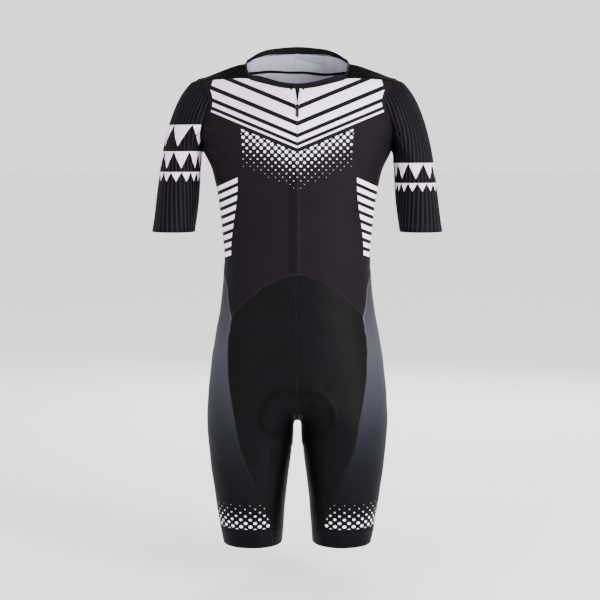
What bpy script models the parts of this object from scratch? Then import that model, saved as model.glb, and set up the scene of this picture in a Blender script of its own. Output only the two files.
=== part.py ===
"""Cycling skinsuit: a one-piece short-sleeved, short-legged racing suit in its worn, hollow form.

The right half of the surface (x > 0, the wearer's left) is worked out from cross sections and mirrored.
Columns run down the body from the front centre (0) over the side (12) to the back centre (24), and on
the legs round the inner thigh (28 is the inseam) back to 32, which is column 0 again. Metres, +Z up,
front towards -Y. Heights in the tables are above a base line just under the leg hems, and the origin
lies between the shoulders, where the wearer carries the suit.
"""

import math
from collections import namedtuple

import bmesh
import bpy
import numpy as np

# Driving dimensions
ORIGIN_HEIGHT = 0.950
LEG_HEM = 0.0155
CROTCH = 0.256
HIP_ROW = 0.340
THIGH_ROW = 0.225
CHEST_ROW = 0.775
BELOW_CHEST = 0.735
BICEPS_ROW = 0.735
WALL = 0.0015
SEAM_GAP = 0.0003
RIB_RISE = 0.0007
TRUNK_ROUNDNESS = 2.3
LEG_ROUNDNESS = 2.1
YOKE_ROUNDNESS = 2.4
TANGENT_STEP = 0.01

# Limits where two directions meet: how far a corner's point may move, and how far a wall may thicken
SHARPEST_CORNER = 0.5
SMALLEST_COSINE = 0.75

# Steps in which a height on a curve is closed in on
HALVINGS = 40

# Columns that carry the lengthwise seams
FRONT_CENTRE, FRONT_SEAM, SIDE, BACK_SEAM, BACK_CENTRE, INSEAM, ROUND = 0, 6, 12, 18, 24, 28, 32

# Inner thigh: degrees from the outer side to its first column, at the top of the leg and added at the hem
INNER_THIGH = 115
INNER_THIGH_HEM = 38

# How far the cloth leaves the crotch's centre line sideways (1 is level), by columns from the line's end,
# and how far it does beside that end on the front and the back
CROTCH_SPREAD = (0.5, 0.80, 0.93, 0.98, 1.0)
CROTCH_SPREAD_COLUMNS = 3

# Rows from the chest down: to the waist seam, to the hip, to where the legs part, to the hem
WAIST_ROWS = 10
SHORTS_ROWS = 5
CROTCH_ROWS = 4
LEG_ROWS = 8

# Rows from the chest up: front to the forward shoulder seam, over the ridge, back to yoke and ridge
FRONT_ROWS = 7
STRAP_ROWS = 3
YOKE_ROW = 6
BACK_ROWS = 8

# Sleeve: outer columns for each step of the armhole's edge, and rows to the biceps and to the cuff
RIB_COLUMNS = 4
HEAD_ROWS = 8
TUBE_ROWS = 3

# Zip: half the width between the fronts' edges, and the open notch above the slider
ZIP_HALF = 0.0012
NOTCH_HALF = 0.0066
SLIDER_HEIGHT = 0.863
NOTCH_TOP = 0.901
TAPE_REACH = 0.60
TAPE_WALL = 0.0010
TAPE_LIP = 0.0022
SLIDER_WIDTH = 0.0072
SLIDER_LENGTH = 0.0115
SLIDER_PLATE = 0.0022
SLIDER_NECK = 0.0016
SLIDER_OUTLINE = ((0.80, 1.0), (1.0, -0.55), (0.62, -1.0))
BAIL_INNER = 0.0024
BAIL_OUTER = 0.0036
BAIL_WIDTH = 0.0014
BAIL_SPACE = 0.0014
BAIL_STEPS = 8
PULL_WIDTH = 0.0056
PULL_LENGTH = 0.0200
PULL_THICKNESS = 0.0011
PULL_BAR = 0.0006
SLOT_WIDTH = 0.0028
SLOT_LENGTH = 0.0046
PULL_CLEARANCE = 0.0016

# Collar band: height at the front and at the back
COLLAR_FRONT = 0.005
COLLAR_BACK = 0.016
COLLAR_RISE = 2.2
COLLAR_LEAN_FRONT = 0.75
COLLAR_LEAN_BACK = 0.35

# Trim inside the back neck: half the width of the seam tape, its columns, and the tag's share of its cell
YOKE_TAPE_HALF = 0.0025
YOKE_TAPE_COLUMNS = 6
LABEL_COLUMNS = 2
LABEL_MARGIN = 0.06
LABEL_DROPS = (0.84, 0.58, 0.26)
TRIM_WALL = 0.0005

# Pad inside the crotch, cut to an arch by planes of (x, height), the same at the front and the back
PAD_THICKNESS = 0.0060
PAD_EDGE = 0.0020
PAD_GAP = 0.0004
PAD_LOWEST = 0.180
PAD_WELD = 0.0004
PadCut = namedtuple("PadCut", "x height across up")
PAD_CUTS = [
    PadCut(0.000, 0.326, 0.0, 1.0),
    PadCut(0.041, 0.322, 0.5, 0.6),
    PadCut(0.055, 0.309, 0.9, 0.6),
    PadCut(0.067, 0.290, 1.0, 0.0),
    PadCut(0.060, 0.255, 0.7, -0.8),
]

TrunkSection = namedtuple("TrunkSection", "height half_width front back")
TRUNK = [
    TrunkSection(0.225, 0.1745, 0.106, 0.112),
    TrunkSection(0.295, 0.1740, 0.112, 0.121),
    TrunkSection(0.340, 0.1705, 0.113, 0.125),
    TrunkSection(0.388, 0.1645, 0.111, 0.127),
    TrunkSection(0.435, 0.1565, 0.108, 0.121),
    TrunkSection(0.481, 0.1485, 0.105, 0.109),
    TrunkSection(0.528, 0.1435, 0.103, 0.099),
    TrunkSection(0.574, 0.1410, 0.103, 0.094),
    TrunkSection(0.621, 0.1440, 0.106, 0.095),
    TrunkSection(0.667, 0.1490, 0.110, 0.100),
    TrunkSection(0.714, 0.1570, 0.113, 0.107),
    TrunkSection(0.750, 0.1670, 0.1135, 0.111),
    TrunkSection(0.775, 0.1800, 0.113, 0.114),
]

LegSection = namedtuple("LegSection", "height centre half_width front back")
LEG = [
    LegSection(0.0155, 0.0852, 0.0555, 0.071, 0.066),
    LegSection(0.062, 0.0881, 0.0620, 0.078, 0.074),
    LegSection(0.109, 0.0902, 0.0680, 0.084, 0.083),
    LegSection(0.155, 0.0913, 0.0748, 0.090, 0.093),
    LegSection(0.202, 0.0914, 0.0808, 0.097, 0.104),
    LegSection(0.225, 0.0912, 0.0833, 0.101, 0.110),
]

SeamPoint = namedtuple("SeamPoint", "height across")
FRONT_SEAM_LINE = [
    SeamPoint(0.0155, 0.0465),
    SeamPoint(0.041, 0.0490),
    SeamPoint(0.061, 0.0525),
    SeamPoint(0.095, 0.0622),
    SeamPoint(0.123, 0.0729),
    SeamPoint(0.153, 0.0836),
    SeamPoint(0.185, 0.0953),
    SeamPoint(0.212, 0.1060),
    SeamPoint(0.237, 0.1110),
    SeamPoint(0.258, 0.1160),
    SeamPoint(0.282, 0.1220),
    SeamPoint(0.325, 0.1280),
    SeamPoint(0.366, 0.1317),
    SeamPoint(0.414, 0.1307),
    SeamPoint(0.460, 0.1235),
    SeamPoint(0.544, 0.1150),
    SeamPoint(0.621, 0.1120),
    SeamPoint(0.714, 0.1180),
    SeamPoint(0.775, 0.1300),
]
BACK_SEAM_LINE = [
    SeamPoint(0.0155, 0.1040),
    SeamPoint(0.109, 0.1180),
    SeamPoint(0.225, 0.1330),
    SeamPoint(0.340, 0.1340),
    SeamPoint(0.460, 0.1220),
    SeamPoint(0.544, 0.1150),
    SeamPoint(0.621, 0.1120),
    SeamPoint(0.714, 0.1180),
    SeamPoint(0.775, 0.1300),
]

# The waist seam arches up to the end of the zip and again round the hip to the back
WaistPoint = namedtuple("WaistPoint", "column height")
WAIST_SEAM = [
    WaistPoint(0, 0.5440),
    WaistPoint(1, 0.5395),
    WaistPoint(2, 0.5290),
    WaistPoint(3, 0.5150),
    WaistPoint(4, 0.4985),
    WaistPoint(5, 0.4800),
    WaistPoint(6, 0.4600),
    WaistPoint(8, 0.4700),
    WaistPoint(10, 0.4910),
    WaistPoint(12, 0.5140),
    WaistPoint(15, 0.5370),
    WaistPoint(18, 0.5500),
    WaistPoint(24, 0.5600),
]

# Shoulder levels: a section's half width and depth, the armhole's edge on it, and the sixth column's x
ShoulderLevel = namedtuple("ShoulderLevel", "height half_width depth edge_x edge_y sixth_x")
FRONT_LEVELS = [
    ShoulderLevel(0.818, 0.1930, 0.1095, 0.1795, 0.052, 0.1060),
    ShoulderLevel(0.864, 0.1985, 0.0930, 0.1650, 0.059, 0.0880),
]
BACK_LEVELS = [
    ShoulderLevel(0.818, 0.1930, 0.1170, 0.1790, 0.056, 0.1080),
    ShoulderLevel(0.861, 0.1985, 0.1130, 0.1690, 0.066, 0.1060),
    ShoulderLevel(0.903, 0.1900, 0.1000, 0.1760, 0.042, 0.1060),
]

# Height of the back yoke's seam at the back centre and at the armhole
YOKE_SEAM_CENTRE = 0.928
YOKE_SEAM_ARM = 0.884

# Points round the neck and shoulder: the neck's front, the forward seam's end, the neck's side up to the
# ridge, the back, and the armhole's ends of the forward seam and the ridge
NECK_FRONT = (0.0, -0.074, 0.899)
NECK_FORWARD = (0.0810, -0.047, 0.9185)
NECK_STRAP = [(0.0945, -0.031, 0.9270), (0.1000, -0.014, 0.9390)]
NECK_SIDE = (0.1005, 0.004, 0.9500)
NECK_BACK = (0.0, 0.068, 0.964)
ARM_FORWARD = (0.1810, -0.025, 0.913)
ARM_TOP = (0.1870, 0.006, 0.917)
NECKLINE_CURVE = 2.3
FORWARD_CROWN_OUT = 0.004
FORWARD_CROWN_UP = 0.002
RIDGE_CROWN_UP = 0.001

TubeSection = namedtuple("TubeSection", "height centre_x half_width centre_y half_depth")
SLEEVE = [
    TubeSection(0.622, 0.2385, 0.0400, -0.004, 0.049),
    TubeSection(0.656, 0.2335, 0.0410, -0.003, 0.050),
    TubeSection(0.702, 0.2285, 0.0405, -0.001, 0.051),
    TubeSection(0.735, 0.2255, 0.0390, 0.000, 0.052),
]

# How the sleeve leaves the armhole, from the underarm to the top of the shoulder
SLEEVE_LEAVES_UNDER = np.array([0.012, 0.0, -0.034])
SLEEVE_LEAVES_TOP = np.array([0.140, 0.0, -0.056])
SLEEVE_LEAVES_SIDEWAYS = 0.030
SLEEVE_ARRIVES_UNDER = np.array([0.002, 0.0, -0.040])
SLEEVE_ARRIVES_TOP = np.array([0.022, 0.0, -0.210])

# Edges sharper than this many degrees are shaded as edges
SHARP_EDGE = 50

Finish = namedtuple("Finish", "colour roughness metallic")
BLACK_KNIT = Finish((0.030, 0.028, 0.034), 0.60, 0.0)
BLACK_LYCRA = Finish((0.013, 0.012, 0.015), 0.45, 0.0)
RIBBED_KNIT = Finish((0.016, 0.014, 0.024), 0.62, 0.0)
GREY_KNIT = Finish((0.125, 0.120, 0.160), 0.58, 0.0)
BLACK_BAND = Finish((0.010, 0.009, 0.011), 0.70, 0.0)
PALE_TAPE = Finish((0.420, 0.400, 0.450), 0.65, 0.0)
TAG_CLOTH = Finish((0.260, 0.250, 0.310), 0.60, 0.0)
PAD_CLOTH = Finish((0.045, 0.045, 0.055), 0.80, 0.0)
DARK_METAL = Finish((0.030, 0.030, 0.033), 0.35, 0.80)


def place(x, y, height):
    """A point from its height above the hem line, with the origin between the shoulders."""
    return np.array([x, y, height - ORIGIN_HEIGHT])


def unit(vectors):
    """The vectors of an array at length one."""
    return vectors / np.linalg.norm(vectors, axis=-1)[..., None]


def hermite(start, leave, end, arrive, t):
    """Cubic from start to end that leaves and arrives along the given tangents."""
    t2, t3 = t * t, t * t * t
    return (
        (2 * t3 - 3 * t2 + 1) * start
        + (t3 - 2 * t2 + t) * leave
        + (3 * t2 - 2 * t3) * end
        + (t3 - t2) * arrive
    )


def smooth_curve(xs, ys):
    """Cubic through a table's points, its slopes taken from the neighbours."""
    xs, ys = np.asarray(xs, float), np.asarray(ys, float)
    slopes = np.gradient(ys, xs)

    def value(x):
        x = min(max(x, xs[0]), xs[-1])
        i = min(max(int(np.searchsorted(xs, x, side="right")) - 1, 0), len(xs) - 2)
        step = xs[i + 1] - xs[i]
        return hermite(ys[i], slopes[i] * step, ys[i + 1], slopes[i + 1] * step, (x - xs[i]) / step)

    return value


def column_of(table, key, name):
    """One named column of a table as a smooth function of another."""
    return smooth_curve([getattr(row, key) for row in table], [getattr(row, name) for row in table])


trunk_half = column_of(TRUNK, "height", "half_width")
trunk_front = column_of(TRUNK, "height", "front")
trunk_back = column_of(TRUNK, "height", "back")
leg_centre = column_of(LEG, "height", "centre")
leg_half = column_of(LEG, "height", "half_width")
leg_front = column_of(LEG, "height", "front")
leg_back = column_of(LEG, "height", "back")
front_seam_x = column_of(FRONT_SEAM_LINE, "height", "across")
back_seam_x = column_of(BACK_SEAM_LINE, "height", "across")
waist_height = column_of(WAIST_SEAM, "column", "height")
sleeve_x = column_of(SLEEVE, "height", "centre_x")
sleeve_half = column_of(SLEEVE, "height", "half_width")
sleeve_y = column_of(SLEEVE, "height", "centre_y")
sleeve_depth = column_of(SLEEVE, "height", "half_depth")


def round_power(value, roundness):
    return math.copysign(abs(value) ** (2 / roundness), value)


def angle_at(across, half, roundness):
    """Angle from the side at which a section is as wide as given."""
    return math.acos(max(min(round_power(across / half, 4 / roundness), 1.0), -1.0))


def trunk_point(height, angle):
    """Point of the trunk: angle -90 degrees is the front centre, 0 the side, 90 the back centre."""
    depth = trunk_front(height) if angle < 0 else trunk_back(height)
    on_centre = math.isclose(abs(angle), math.pi / 2)
    across = 0.0 if on_centre else round_power(math.cos(angle), TRUNK_ROUNDNESS)
    return place(
        trunk_half(height) * across,
        depth * round_power(math.sin(angle), TRUNK_ROUNDNESS),
        height,
    )


def leg_point(height, angle):
    """Point of a leg: angle -90 degrees is its front, 0 its outer side, 180 the inseam."""
    depth = leg_front(height) if math.sin(angle) < 0 else leg_back(height)
    return place(
        leg_centre(height) + leg_half(height) * round_power(math.cos(angle), LEG_ROUNDNESS),
        depth * round_power(math.sin(angle), LEG_ROUNDNESS),
        height,
    )


def between(keys, column):
    """Straight interpolation of (column, value) pairs."""
    return float(np.interp(column, [k for k, _ in keys], [v for _, v in keys]))


def trunk_column(height, column):
    """Point of the trunk on a column, which follows the seams' width."""
    half = trunk_half(height)
    keys = [
        (FRONT_CENTRE, -math.pi / 2),
        (FRONT_SEAM, -angle_at(front_seam_x(height), half, TRUNK_ROUNDNESS)),
        (SIDE, 0.0),
        (BACK_SEAM, angle_at(back_seam_x(height), half, TRUNK_ROUNDNESS)),
        (BACK_CENTRE, math.pi / 2),
    ]
    return trunk_point(height, between(keys, column))


def leg_column(height, column):
    """Point of a leg on a column. The inner columns fan from the crotch towards the inseam."""
    drop = (THIGH_ROW - height) / (THIGH_ROW - LEG_HEM)
    half, centre = leg_half(height), leg_centre(height)
    inner = math.radians(INNER_THIGH + INNER_THIGH_HEM * drop)
    keys = [
        (FRONT_CENTRE, -inner),
        (FRONT_SEAM, -angle_at(front_seam_x(height) - centre, half, LEG_ROUNDNESS)),
        (SIDE, 0.0),
        (BACK_SEAM, angle_at(back_seam_x(height) - centre, half, LEG_ROUNDNESS)),
        (BACK_CENTRE, inner),
        (INSEAM, math.pi),
        (ROUND, 2 * math.pi - inner),
    ]
    return leg_point(height, between(keys, column))


def crotch_curve(column):
    """Centre line under the body, from the front centre (32) past the inseam (28) to the back (24)."""
    turn = math.pi * (ROUND - column) / (ROUND - BACK_CENTRE)
    front, back = trunk_front(HIP_ROW), trunk_back(HIP_ROW)
    depth = front if turn < math.pi / 2 else back
    y = 0.0 if column == INSEAM else -depth * math.cos(turn)
    return place(0.0, y, HIP_ROW - (HIP_ROW - CROTCH) * math.sin(turn))


def crotch_column(column, t):
    """Point between the hip row or the crotch curve (t = 0) and the first row of the leg (t = 1)."""
    end = leg_column(THIGH_ROW, column)
    start = trunk_column(HIP_ROW, column) if column <= BACK_CENTRE else crotch_curve(column)
    reach = float(np.linalg.norm(end - start))
    arrive = (leg_column(THIGH_ROW - TANGENT_STEP, column) - end) * reach / TANGENT_STEP
    outward = np.array([1.0, 0.0, 0.0])
    if column <= BACK_CENTRE:
        down = unit(trunk_column(HIP_ROW - TANGENT_STEP, column) - start)
        from_centre = min(column, BACK_CENTRE - column)
        spread = CROTCH_SPREAD[0] * max(0.0, 1 - from_centre / CROTCH_SPREAD_COLUMNS)
    else:
        spread = CROTCH_SPREAD[min(ROUND - column, column - BACK_CENTRE)]
        slope = crotch_curve(column + 0.5) - crotch_curve(column - 0.5)
        down = unit(slope * (-1 if column > INSEAM else 1))
    leave = outward * math.sin(spread * math.pi / 2) + down * math.cos(spread * math.pi / 2)
    return hermite(start, leave * reach, end, arrive, t)


def shoulder_level(level, column, sign):
    """Point across the chest or the back at one level; column counts from the centre to the armhole."""
    share = column / SIDE
    if share <= 0.5:
        x = level.sixth_x * share * 2
    else:
        x = level.sixth_x + (level.edge_x - level.sixth_x) * (share - 0.5) * 2
    fullness = (1 - (x / level.half_width) ** YOKE_ROUNDNESS) ** (1 / YOKE_ROUNDNESS)
    edge_full = (1 - (level.edge_x / level.half_width) ** YOKE_ROUNDNESS) ** (1 / YOKE_ROUNDNESS)
    depth = level.depth * fullness + (level.edge_y - level.depth * edge_full) * share**3
    return place(x, sign * depth, level.height)


def front_top(column):
    """Neckline from the front centre to the forward seam, then that seam out to the armhole."""
    forward, edge, front = (np.array(p) for p in (NECK_FORWARD, ARM_FORWARD, NECK_FRONT))
    if column <= FRONT_SEAM:
        share = column / FRONT_SEAM
        x = forward[0] * share
        y = front[1] + (forward[1] - front[1]) * share**NECKLINE_CURVE
        return place(x, y, front[2] + (forward[2] - front[2]) * share**2)
    share = (column - FRONT_SEAM) / (SIDE - FRONT_SEAM)
    x, y, height = forward + (edge - forward) * share
    crown = math.sin(math.pi * share)
    return place(x, y - FORWARD_CROWN_OUT * crown, height + FORWARD_CROWN_UP * crown)


def ridge(column):
    """Top of the shoulder from the neck (column 6) to the armhole (column 12)."""
    share = (column - FRONT_SEAM) / (SIDE - FRONT_SEAM)
    x, y, height = np.array(NECK_SIDE) + (np.array(ARM_TOP) - np.array(NECK_SIDE)) * share
    return place(x, y, height + RIDGE_CROWN_UP * math.sin(math.pi * share))


def neck_back(column):
    """Neck edge from the side (column 18) round to the back centre (column 24)."""
    turn = math.pi / 2 * (column - BACK_SEAM) / (BACK_CENTRE - BACK_SEAM)
    across = 0.0 if column == BACK_CENTRE else math.cos(turn) ** (2 / YOKE_ROUNDNESS)
    depth = math.sin(turn) ** (2 / YOKE_ROUNDNESS)
    y = NECK_SIDE[1] + (NECK_BACK[1] - NECK_SIDE[1]) * depth
    return place(NECK_SIDE[0] * across, y, NECK_SIDE[2] + (NECK_BACK[2] - NECK_SIDE[2]) * math.sin(turn))


def through(points):
    """Smooth curve through points, read by the distance along it from the first point."""
    points = np.array(points)
    chord = np.linalg.norm(np.diff(points, axis=0), axis=1)
    along = np.concatenate([[0.0], np.cumsum(chord)])
    axes = [smooth_curve(along, points[:, i]) for i in range(3)]
    return along, lambda s: np.array([axis(s) for axis in axes])


def stretch(curve, start, end, rows):
    """Points on a curve from one distance to another, the ends kept exact."""
    return [curve(start + (end - start) * k / rows) for k in range(rows + 1)]


def reach_height(curve, start, end, height):
    """Distance along a falling curve at which it comes down to a height."""
    for _ in range(HALVINGS):
        middle = (start + end) / 2
        if curve(middle)[2] + ORIGIN_HEIGHT > height:
            start = middle
        else:
            end = middle
    return start


def back_stretch(curve, start, end, column):
    """Points down the back in rows: evenly to the yoke's seam, and evenly from there to the chest row."""
    share = column / SIDE
    seam = YOKE_SEAM_CENTRE + (YOKE_SEAM_ARM - YOKE_SEAM_CENTRE) * share**2
    middle = reach_height(curve, start, end, seam)
    above = stretch(curve, start, middle, BACK_ROWS - YOKE_ROW)
    return above + stretch(curve, middle, end, YOKE_ROW)[1:]


def upper_columns():
    """Columns above the chest: front[k][column] up to the forward seam, strap, and back."""
    front = [[None] * (SIDE + 1) for _ in range(FRONT_ROWS + 1)]
    strap = [[None] * (SIDE + 1) for _ in range(STRAP_ROWS + 1)]
    back = [[None] * (SIDE + 1) for _ in range(BACK_ROWS + 1)]
    for column in range(SIDE + 1):
        mirrored = BACK_CENTRE - column
        climb = [trunk_column(BELOW_CHEST, column), trunk_column(CHEST_ROW, column)]
        climb += [shoulder_level(level, column, -1) for level in FRONT_LEVELS] + [front_top(column)]
        descend = [shoulder_level(level, column, 1) for level in reversed(BACK_LEVELS)]
        descend += [trunk_column(CHEST_ROW, mirrored), trunk_column(BELOW_CHEST, mirrored)]
        if column < FRONT_SEAM:
            along, curve = through(climb)
            front_points = stretch(curve, along[1], along[-1], FRONT_ROWS)
            along, curve = through([neck_back(mirrored)] + descend)
            back_points = back_stretch(curve, along[0], along[-2], column)
        else:
            along, curve = through(climb + [ridge(column)] + descend)
            top = len(climb) - 1
            front_points = stretch(curve, along[1], along[top], FRONT_ROWS)
            strap_points = stretch(curve, along[top], along[top + 1], STRAP_ROWS)
            if column == FRONT_SEAM:
                strap_points[1:STRAP_ROWS] = [place(*p) for p in NECK_STRAP]
            back_points = back_stretch(curve, along[top + 1], along[-2], column)
            for k in range(STRAP_ROWS + 1):
                strap[k][column] = strap_points[k]
        for k in range(FRONT_ROWS + 1):
            front[k][column] = front_points[k]
        for k in range(BACK_ROWS + 1):
            back[BACK_ROWS - k][column] = back_points[k]
    return front, strap, back


def lower_rows():
    """Rows from the chest down: trunk rows of 25 columns, then rings of 32 round the leg."""
    rows = []
    for k in range(WAIST_ROWS + 1):
        share = k / WAIST_ROWS
        heights = [CHEST_ROW + (waist_height(c) - CHEST_ROW) * share for c in range(BACK_CENTRE + 1)]
        rows.append([trunk_column(h, c) for c, h in enumerate(heights)])
    for k in range(1, SHORTS_ROWS + 1):
        share = k / SHORTS_ROWS
        heights = [waist_height(c) + (HIP_ROW - waist_height(c)) * share for c in range(BACK_CENTRE + 1)]
        rows.append([trunk_column(h, c) for c, h in enumerate(heights)])
    rings = [[crotch_column(c, k / CROTCH_ROWS) for c in range(ROUND)] for k in range(CROTCH_ROWS + 1)]
    for k in range(1, LEG_ROWS + 1):
        height = THIGH_ROW + (LEG_HEM - THIGH_ROW) * k / LEG_ROWS
        rings.append([leg_column(height, c) for c in range(ROUND)])
    return rows, rings


def zip_half(height):
    """Half the gap between the fronts' edges at a height."""
    opened = max(0.0, (height - SLIDER_HEIGHT) / (NOTCH_TOP - SLIDER_HEIGHT))
    return ZIP_HALF + (NOTCH_HALF - ZIP_HALF) * min(opened, 1.0)


def zip_edge(centre, beside):
    """The front's edge, on the straight line from the centre column to the next."""
    share = zip_half(centre[2] + ORIGIN_HEIGHT) / beside[0]
    return centre + (beside - centre) * share


class Surface:
    """Welded points and the four-sided faces of each piece, wound outwards."""

    def __init__(self):
        self.points = []
        self.index = {}
        self.faces = []

    def add_point(self, point):
        key = tuple(int(round(float(v) * 1e7)) for v in point)
        if key not in self.index:
            self.index[key] = len(self.points)
            self.points.append(np.array([float(v) for v in point]))
        return self.index[key]

    def add_face(self, piece, corners, side):
        """One face on the right half or, with side -1, its mirror image."""
        placed = [(p[0] * side, p[1], p[2]) for p in corners]
        ids = [self.add_point(p) for p in (placed if side > 0 else placed[::-1])]
        kept = [v for i, v in enumerate(ids) if v != ids[i - 1]]
        self.faces.append((piece, tuple(kept)))

    def add_grid(self, piece, upper, lower, side):
        """A row of faces between an upper and a lower line of points, read from outside left to right."""
        for i in range(len(upper) - 1):
            self.add_face(piece, (lower[i], lower[i + 1], upper[i + 1], upper[i]), side)

    def normals(self):
        total = np.zeros((len(self.points), 3))
        points = np.array(self.points)
        for _, ids in self.faces:
            corners = points[list(ids)]
            area = np.zeros(3)
            for i in range(1, len(ids) - 1):
                area += np.cross(corners[i] - corners[0], corners[i + 1] - corners[0])
            total[list(ids)] += area
        length = np.linalg.norm(total, axis=1)
        return total / np.maximum(length, 1e-12)[:, None]


def side_name(side):
    return "left" if side > 0 else "right"


def build_shell():
    """All sewn pieces of the suit except the sleeves, with the armhole and neck edges."""
    surface = Surface()
    front, strap, back = upper_columns()
    rows, rings = lower_rows()
    for side in (1, -1):
        name = side_name(side)
        for k in range(WAIST_ROWS):
            lines = []
            for row in (rows[k], rows[k + 1]):
                lines.append([zip_edge(row[0], row[1])] + row[1 : SIDE + 1])
            surface.add_grid("front_" + name, lines[0], lines[1], side)
            surface.add_grid("back", rows[k][SIDE:], rows[k + 1][SIDE:], side)
        for k in range(FRONT_ROWS):
            lines = []
            for row in (front[k + 1], front[k]):
                lines.append([zip_edge(row[0], row[1])] + row[1:])
            surface.add_grid("front_" + name, lines[0], lines[1], side)
        for k in range(STRAP_ROWS):
            above, below = strap[k + 1][FRONT_SEAM:], strap[k][FRONT_SEAM:]
            surface.add_grid("yoke_" + name, above, below, side)
        for k in range(BACK_ROWS):
            piece = "yoke_" + name if k >= YOKE_ROW else "back"
            surface.add_grid(piece, back[k + 1][::-1], back[k][::-1], side)
        for k in range(WAIST_ROWS, WAIST_ROWS + SHORTS_ROWS):
            add_shorts_row(surface, name, rows[k], rows[k + 1], side)
        for k in range(len(rings) - 1):
            add_leg_ring(surface, name, rings[k], rings[k + 1], side)
    neckline = front[FRONT_ROWS]
    neck = [zip_edge(neckline[0], neckline[1])] + neckline[1 : FRONT_SEAM + 1]
    neck += [strap[k][FRONT_SEAM] for k in range(1, STRAP_ROWS + 1)]
    neck += [back[BACK_ROWS][c] for c in range(FRONT_SEAM - 1, -1, -1)]
    arm = [front[k][SIDE] for k in range(FRONT_ROWS + 1)]
    arm += [strap[k][SIDE] for k in range(1, STRAP_ROWS + 1)]
    arm += [back[k][SIDE] for k in range(BACK_ROWS - 1, 0, -1)]
    zip_rows = [(row[0], row[1]) for row in front[::-1] + rows[1 : WAIST_ROWS + 1]]
    return surface, {"neck": neck, "arm": arm, "zip": zip_rows, "back": back}


def add_shorts_row(surface, name, upper, lower, side):
    """One row of the shorts' front, side and back panels."""
    parts = (
        ("short_front_", FRONT_CENTRE, FRONT_SEAM),
        ("side_", FRONT_SEAM, BACK_SEAM),
        ("short_back_", BACK_SEAM, BACK_CENTRE),
    )
    for piece, first, last in parts:
        surface.add_grid(piece + name, upper[first : last + 1], lower[first : last + 1], side)


def add_leg_ring(surface, name, upper, lower, side):
    """One ring of a leg: the outer panels, then the inner thigh on either side of the inseam."""
    add_shorts_row(surface, name, upper, lower, side)
    above, below = upper + upper[:1], lower + lower[:1]
    inner_back = slice(BACK_CENTRE, INSEAM + 1)
    inner_front = slice(INSEAM, ROUND + 1)
    surface.add_grid("short_back_" + name, above[inner_back], below[inner_back], side)
    surface.add_grid("short_front_" + name, above[inner_front], below[inner_front], side)


def add_collar(surface, neck):
    """Band that stands on the neck edge and leans in, low at the front and high at the back."""
    count = len(neck) - 1
    tops = []
    for k, point in enumerate(neck):
        share = k / count
        height = COLLAR_FRONT + (COLLAR_BACK - COLLAR_FRONT) * share**COLLAR_RISE
        lean = COLLAR_LEAN_FRONT + (COLLAR_LEAN_BACK - COLLAR_LEAN_FRONT) * share
        inward = unit(np.array([-point[0], -point[1], 0.0]))
        tops.append(point + unit(np.array([0.0, 0.0, 1.0]) + inward * lean) * height)
    tops[-1][0] = 0.0
    for side in (1, -1):
        surface.add_grid("collar", tops, neck, side)


def sleeve_rings(arm):
    """Rings of points from the armhole to the cuff, with straight steps on the armhole's edge."""
    count = len(arm) * RIB_COLUMNS
    rings = [[] for _ in range(HEAD_ROWS + TUBE_ROWS + 1)]
    top_share = (FRONT_ROWS + STRAP_ROWS) / len(arm)
    for c in range(count):
        i, part = divmod(c, RIB_COLUMNS)
        start = arm[i] + (arm[(i + 1) % len(arm)] - arm[i]) * part / RIB_COLUMNS
        share = c / count
        turn = between([(0.0, 0.0), (top_share, 0.5), (1.0, 1.0)], share)
        rise = math.sin(math.pi * turn) ** 2
        leave = SLEEVE_LEAVES_UNDER + (SLEEVE_LEAVES_TOP - SLEEVE_LEAVES_UNDER) * rise
        leave = leave + np.array([0.0, -SLEEVE_LEAVES_SIDEWAYS * math.sin(2 * math.pi * turn), 0.0])
        arrive = SLEEVE_ARRIVES_UNDER + (SLEEVE_ARRIVES_TOP - SLEEVE_ARRIVES_UNDER) * rise
        angle = -math.pi + 2 * math.pi * share
        for k in range(HEAD_ROWS + 1):
            end = tube_point(BICEPS_ROW, angle)
            rings[k].append(hermite(start, leave, end, arrive, k / HEAD_ROWS))
        for k in range(1, TUBE_ROWS + 1):
            height = BICEPS_ROW + (SLEEVE[0].height - BICEPS_ROW) * k / TUBE_ROWS
            rings[HEAD_ROWS + k].append(tube_point(height, angle))
    return rings


def tube_point(height, angle):
    """Point of the sleeve's tube: angle -180 degrees faces the body, -90 the front, 0 outwards."""
    x = sleeve_x(height) + sleeve_half(height) * math.cos(angle)
    return place(x, sleeve_y(height) + sleeve_depth(height) * math.sin(angle), height)


def halved(points, faces):
    """The same faces as triangles, each four-sided one split along its shorter diagonal."""
    split = []
    for ids in faces:
        if len(ids) < 4:
            split.append(ids)
            continue
        a, b, c, d = ids
        if np.linalg.norm(points[a] - points[c]) <= np.linalg.norm(points[b] - points[d]):
            split += [(a, b, c), (a, c, d)]
        else:
            split += [(a, b, d), (b, c, d)]
    return split


def open_edges(faces):
    """Edges round a group of faces, as pairs of points in the faces' own order."""
    edges = {(ids[i - 1], ids[i]) for ids in faces for i in range(len(ids))}
    return [(a, b) for a, b in sorted(edges) if (b, a) not in edges]


def seam_shift(points, normals, faces):
    """How far each point on a piece's edge moves into the piece, to leave half the seam's gap."""
    shift = {}
    for a, b in open_edges(faces):
        for v in (a, b):
            shift.setdefault(v, []).append(unit(np.cross(normals[v], points[b] - points[a])))
    moved = {}
    for v, sides in shift.items():
        total = np.sum(sides, axis=0)
        scale = len(sides) / max(float(total @ total), SHARPEST_CORNER)
        moved[v] = total * scale * SEAM_GAP / 2
    return moved


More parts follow.
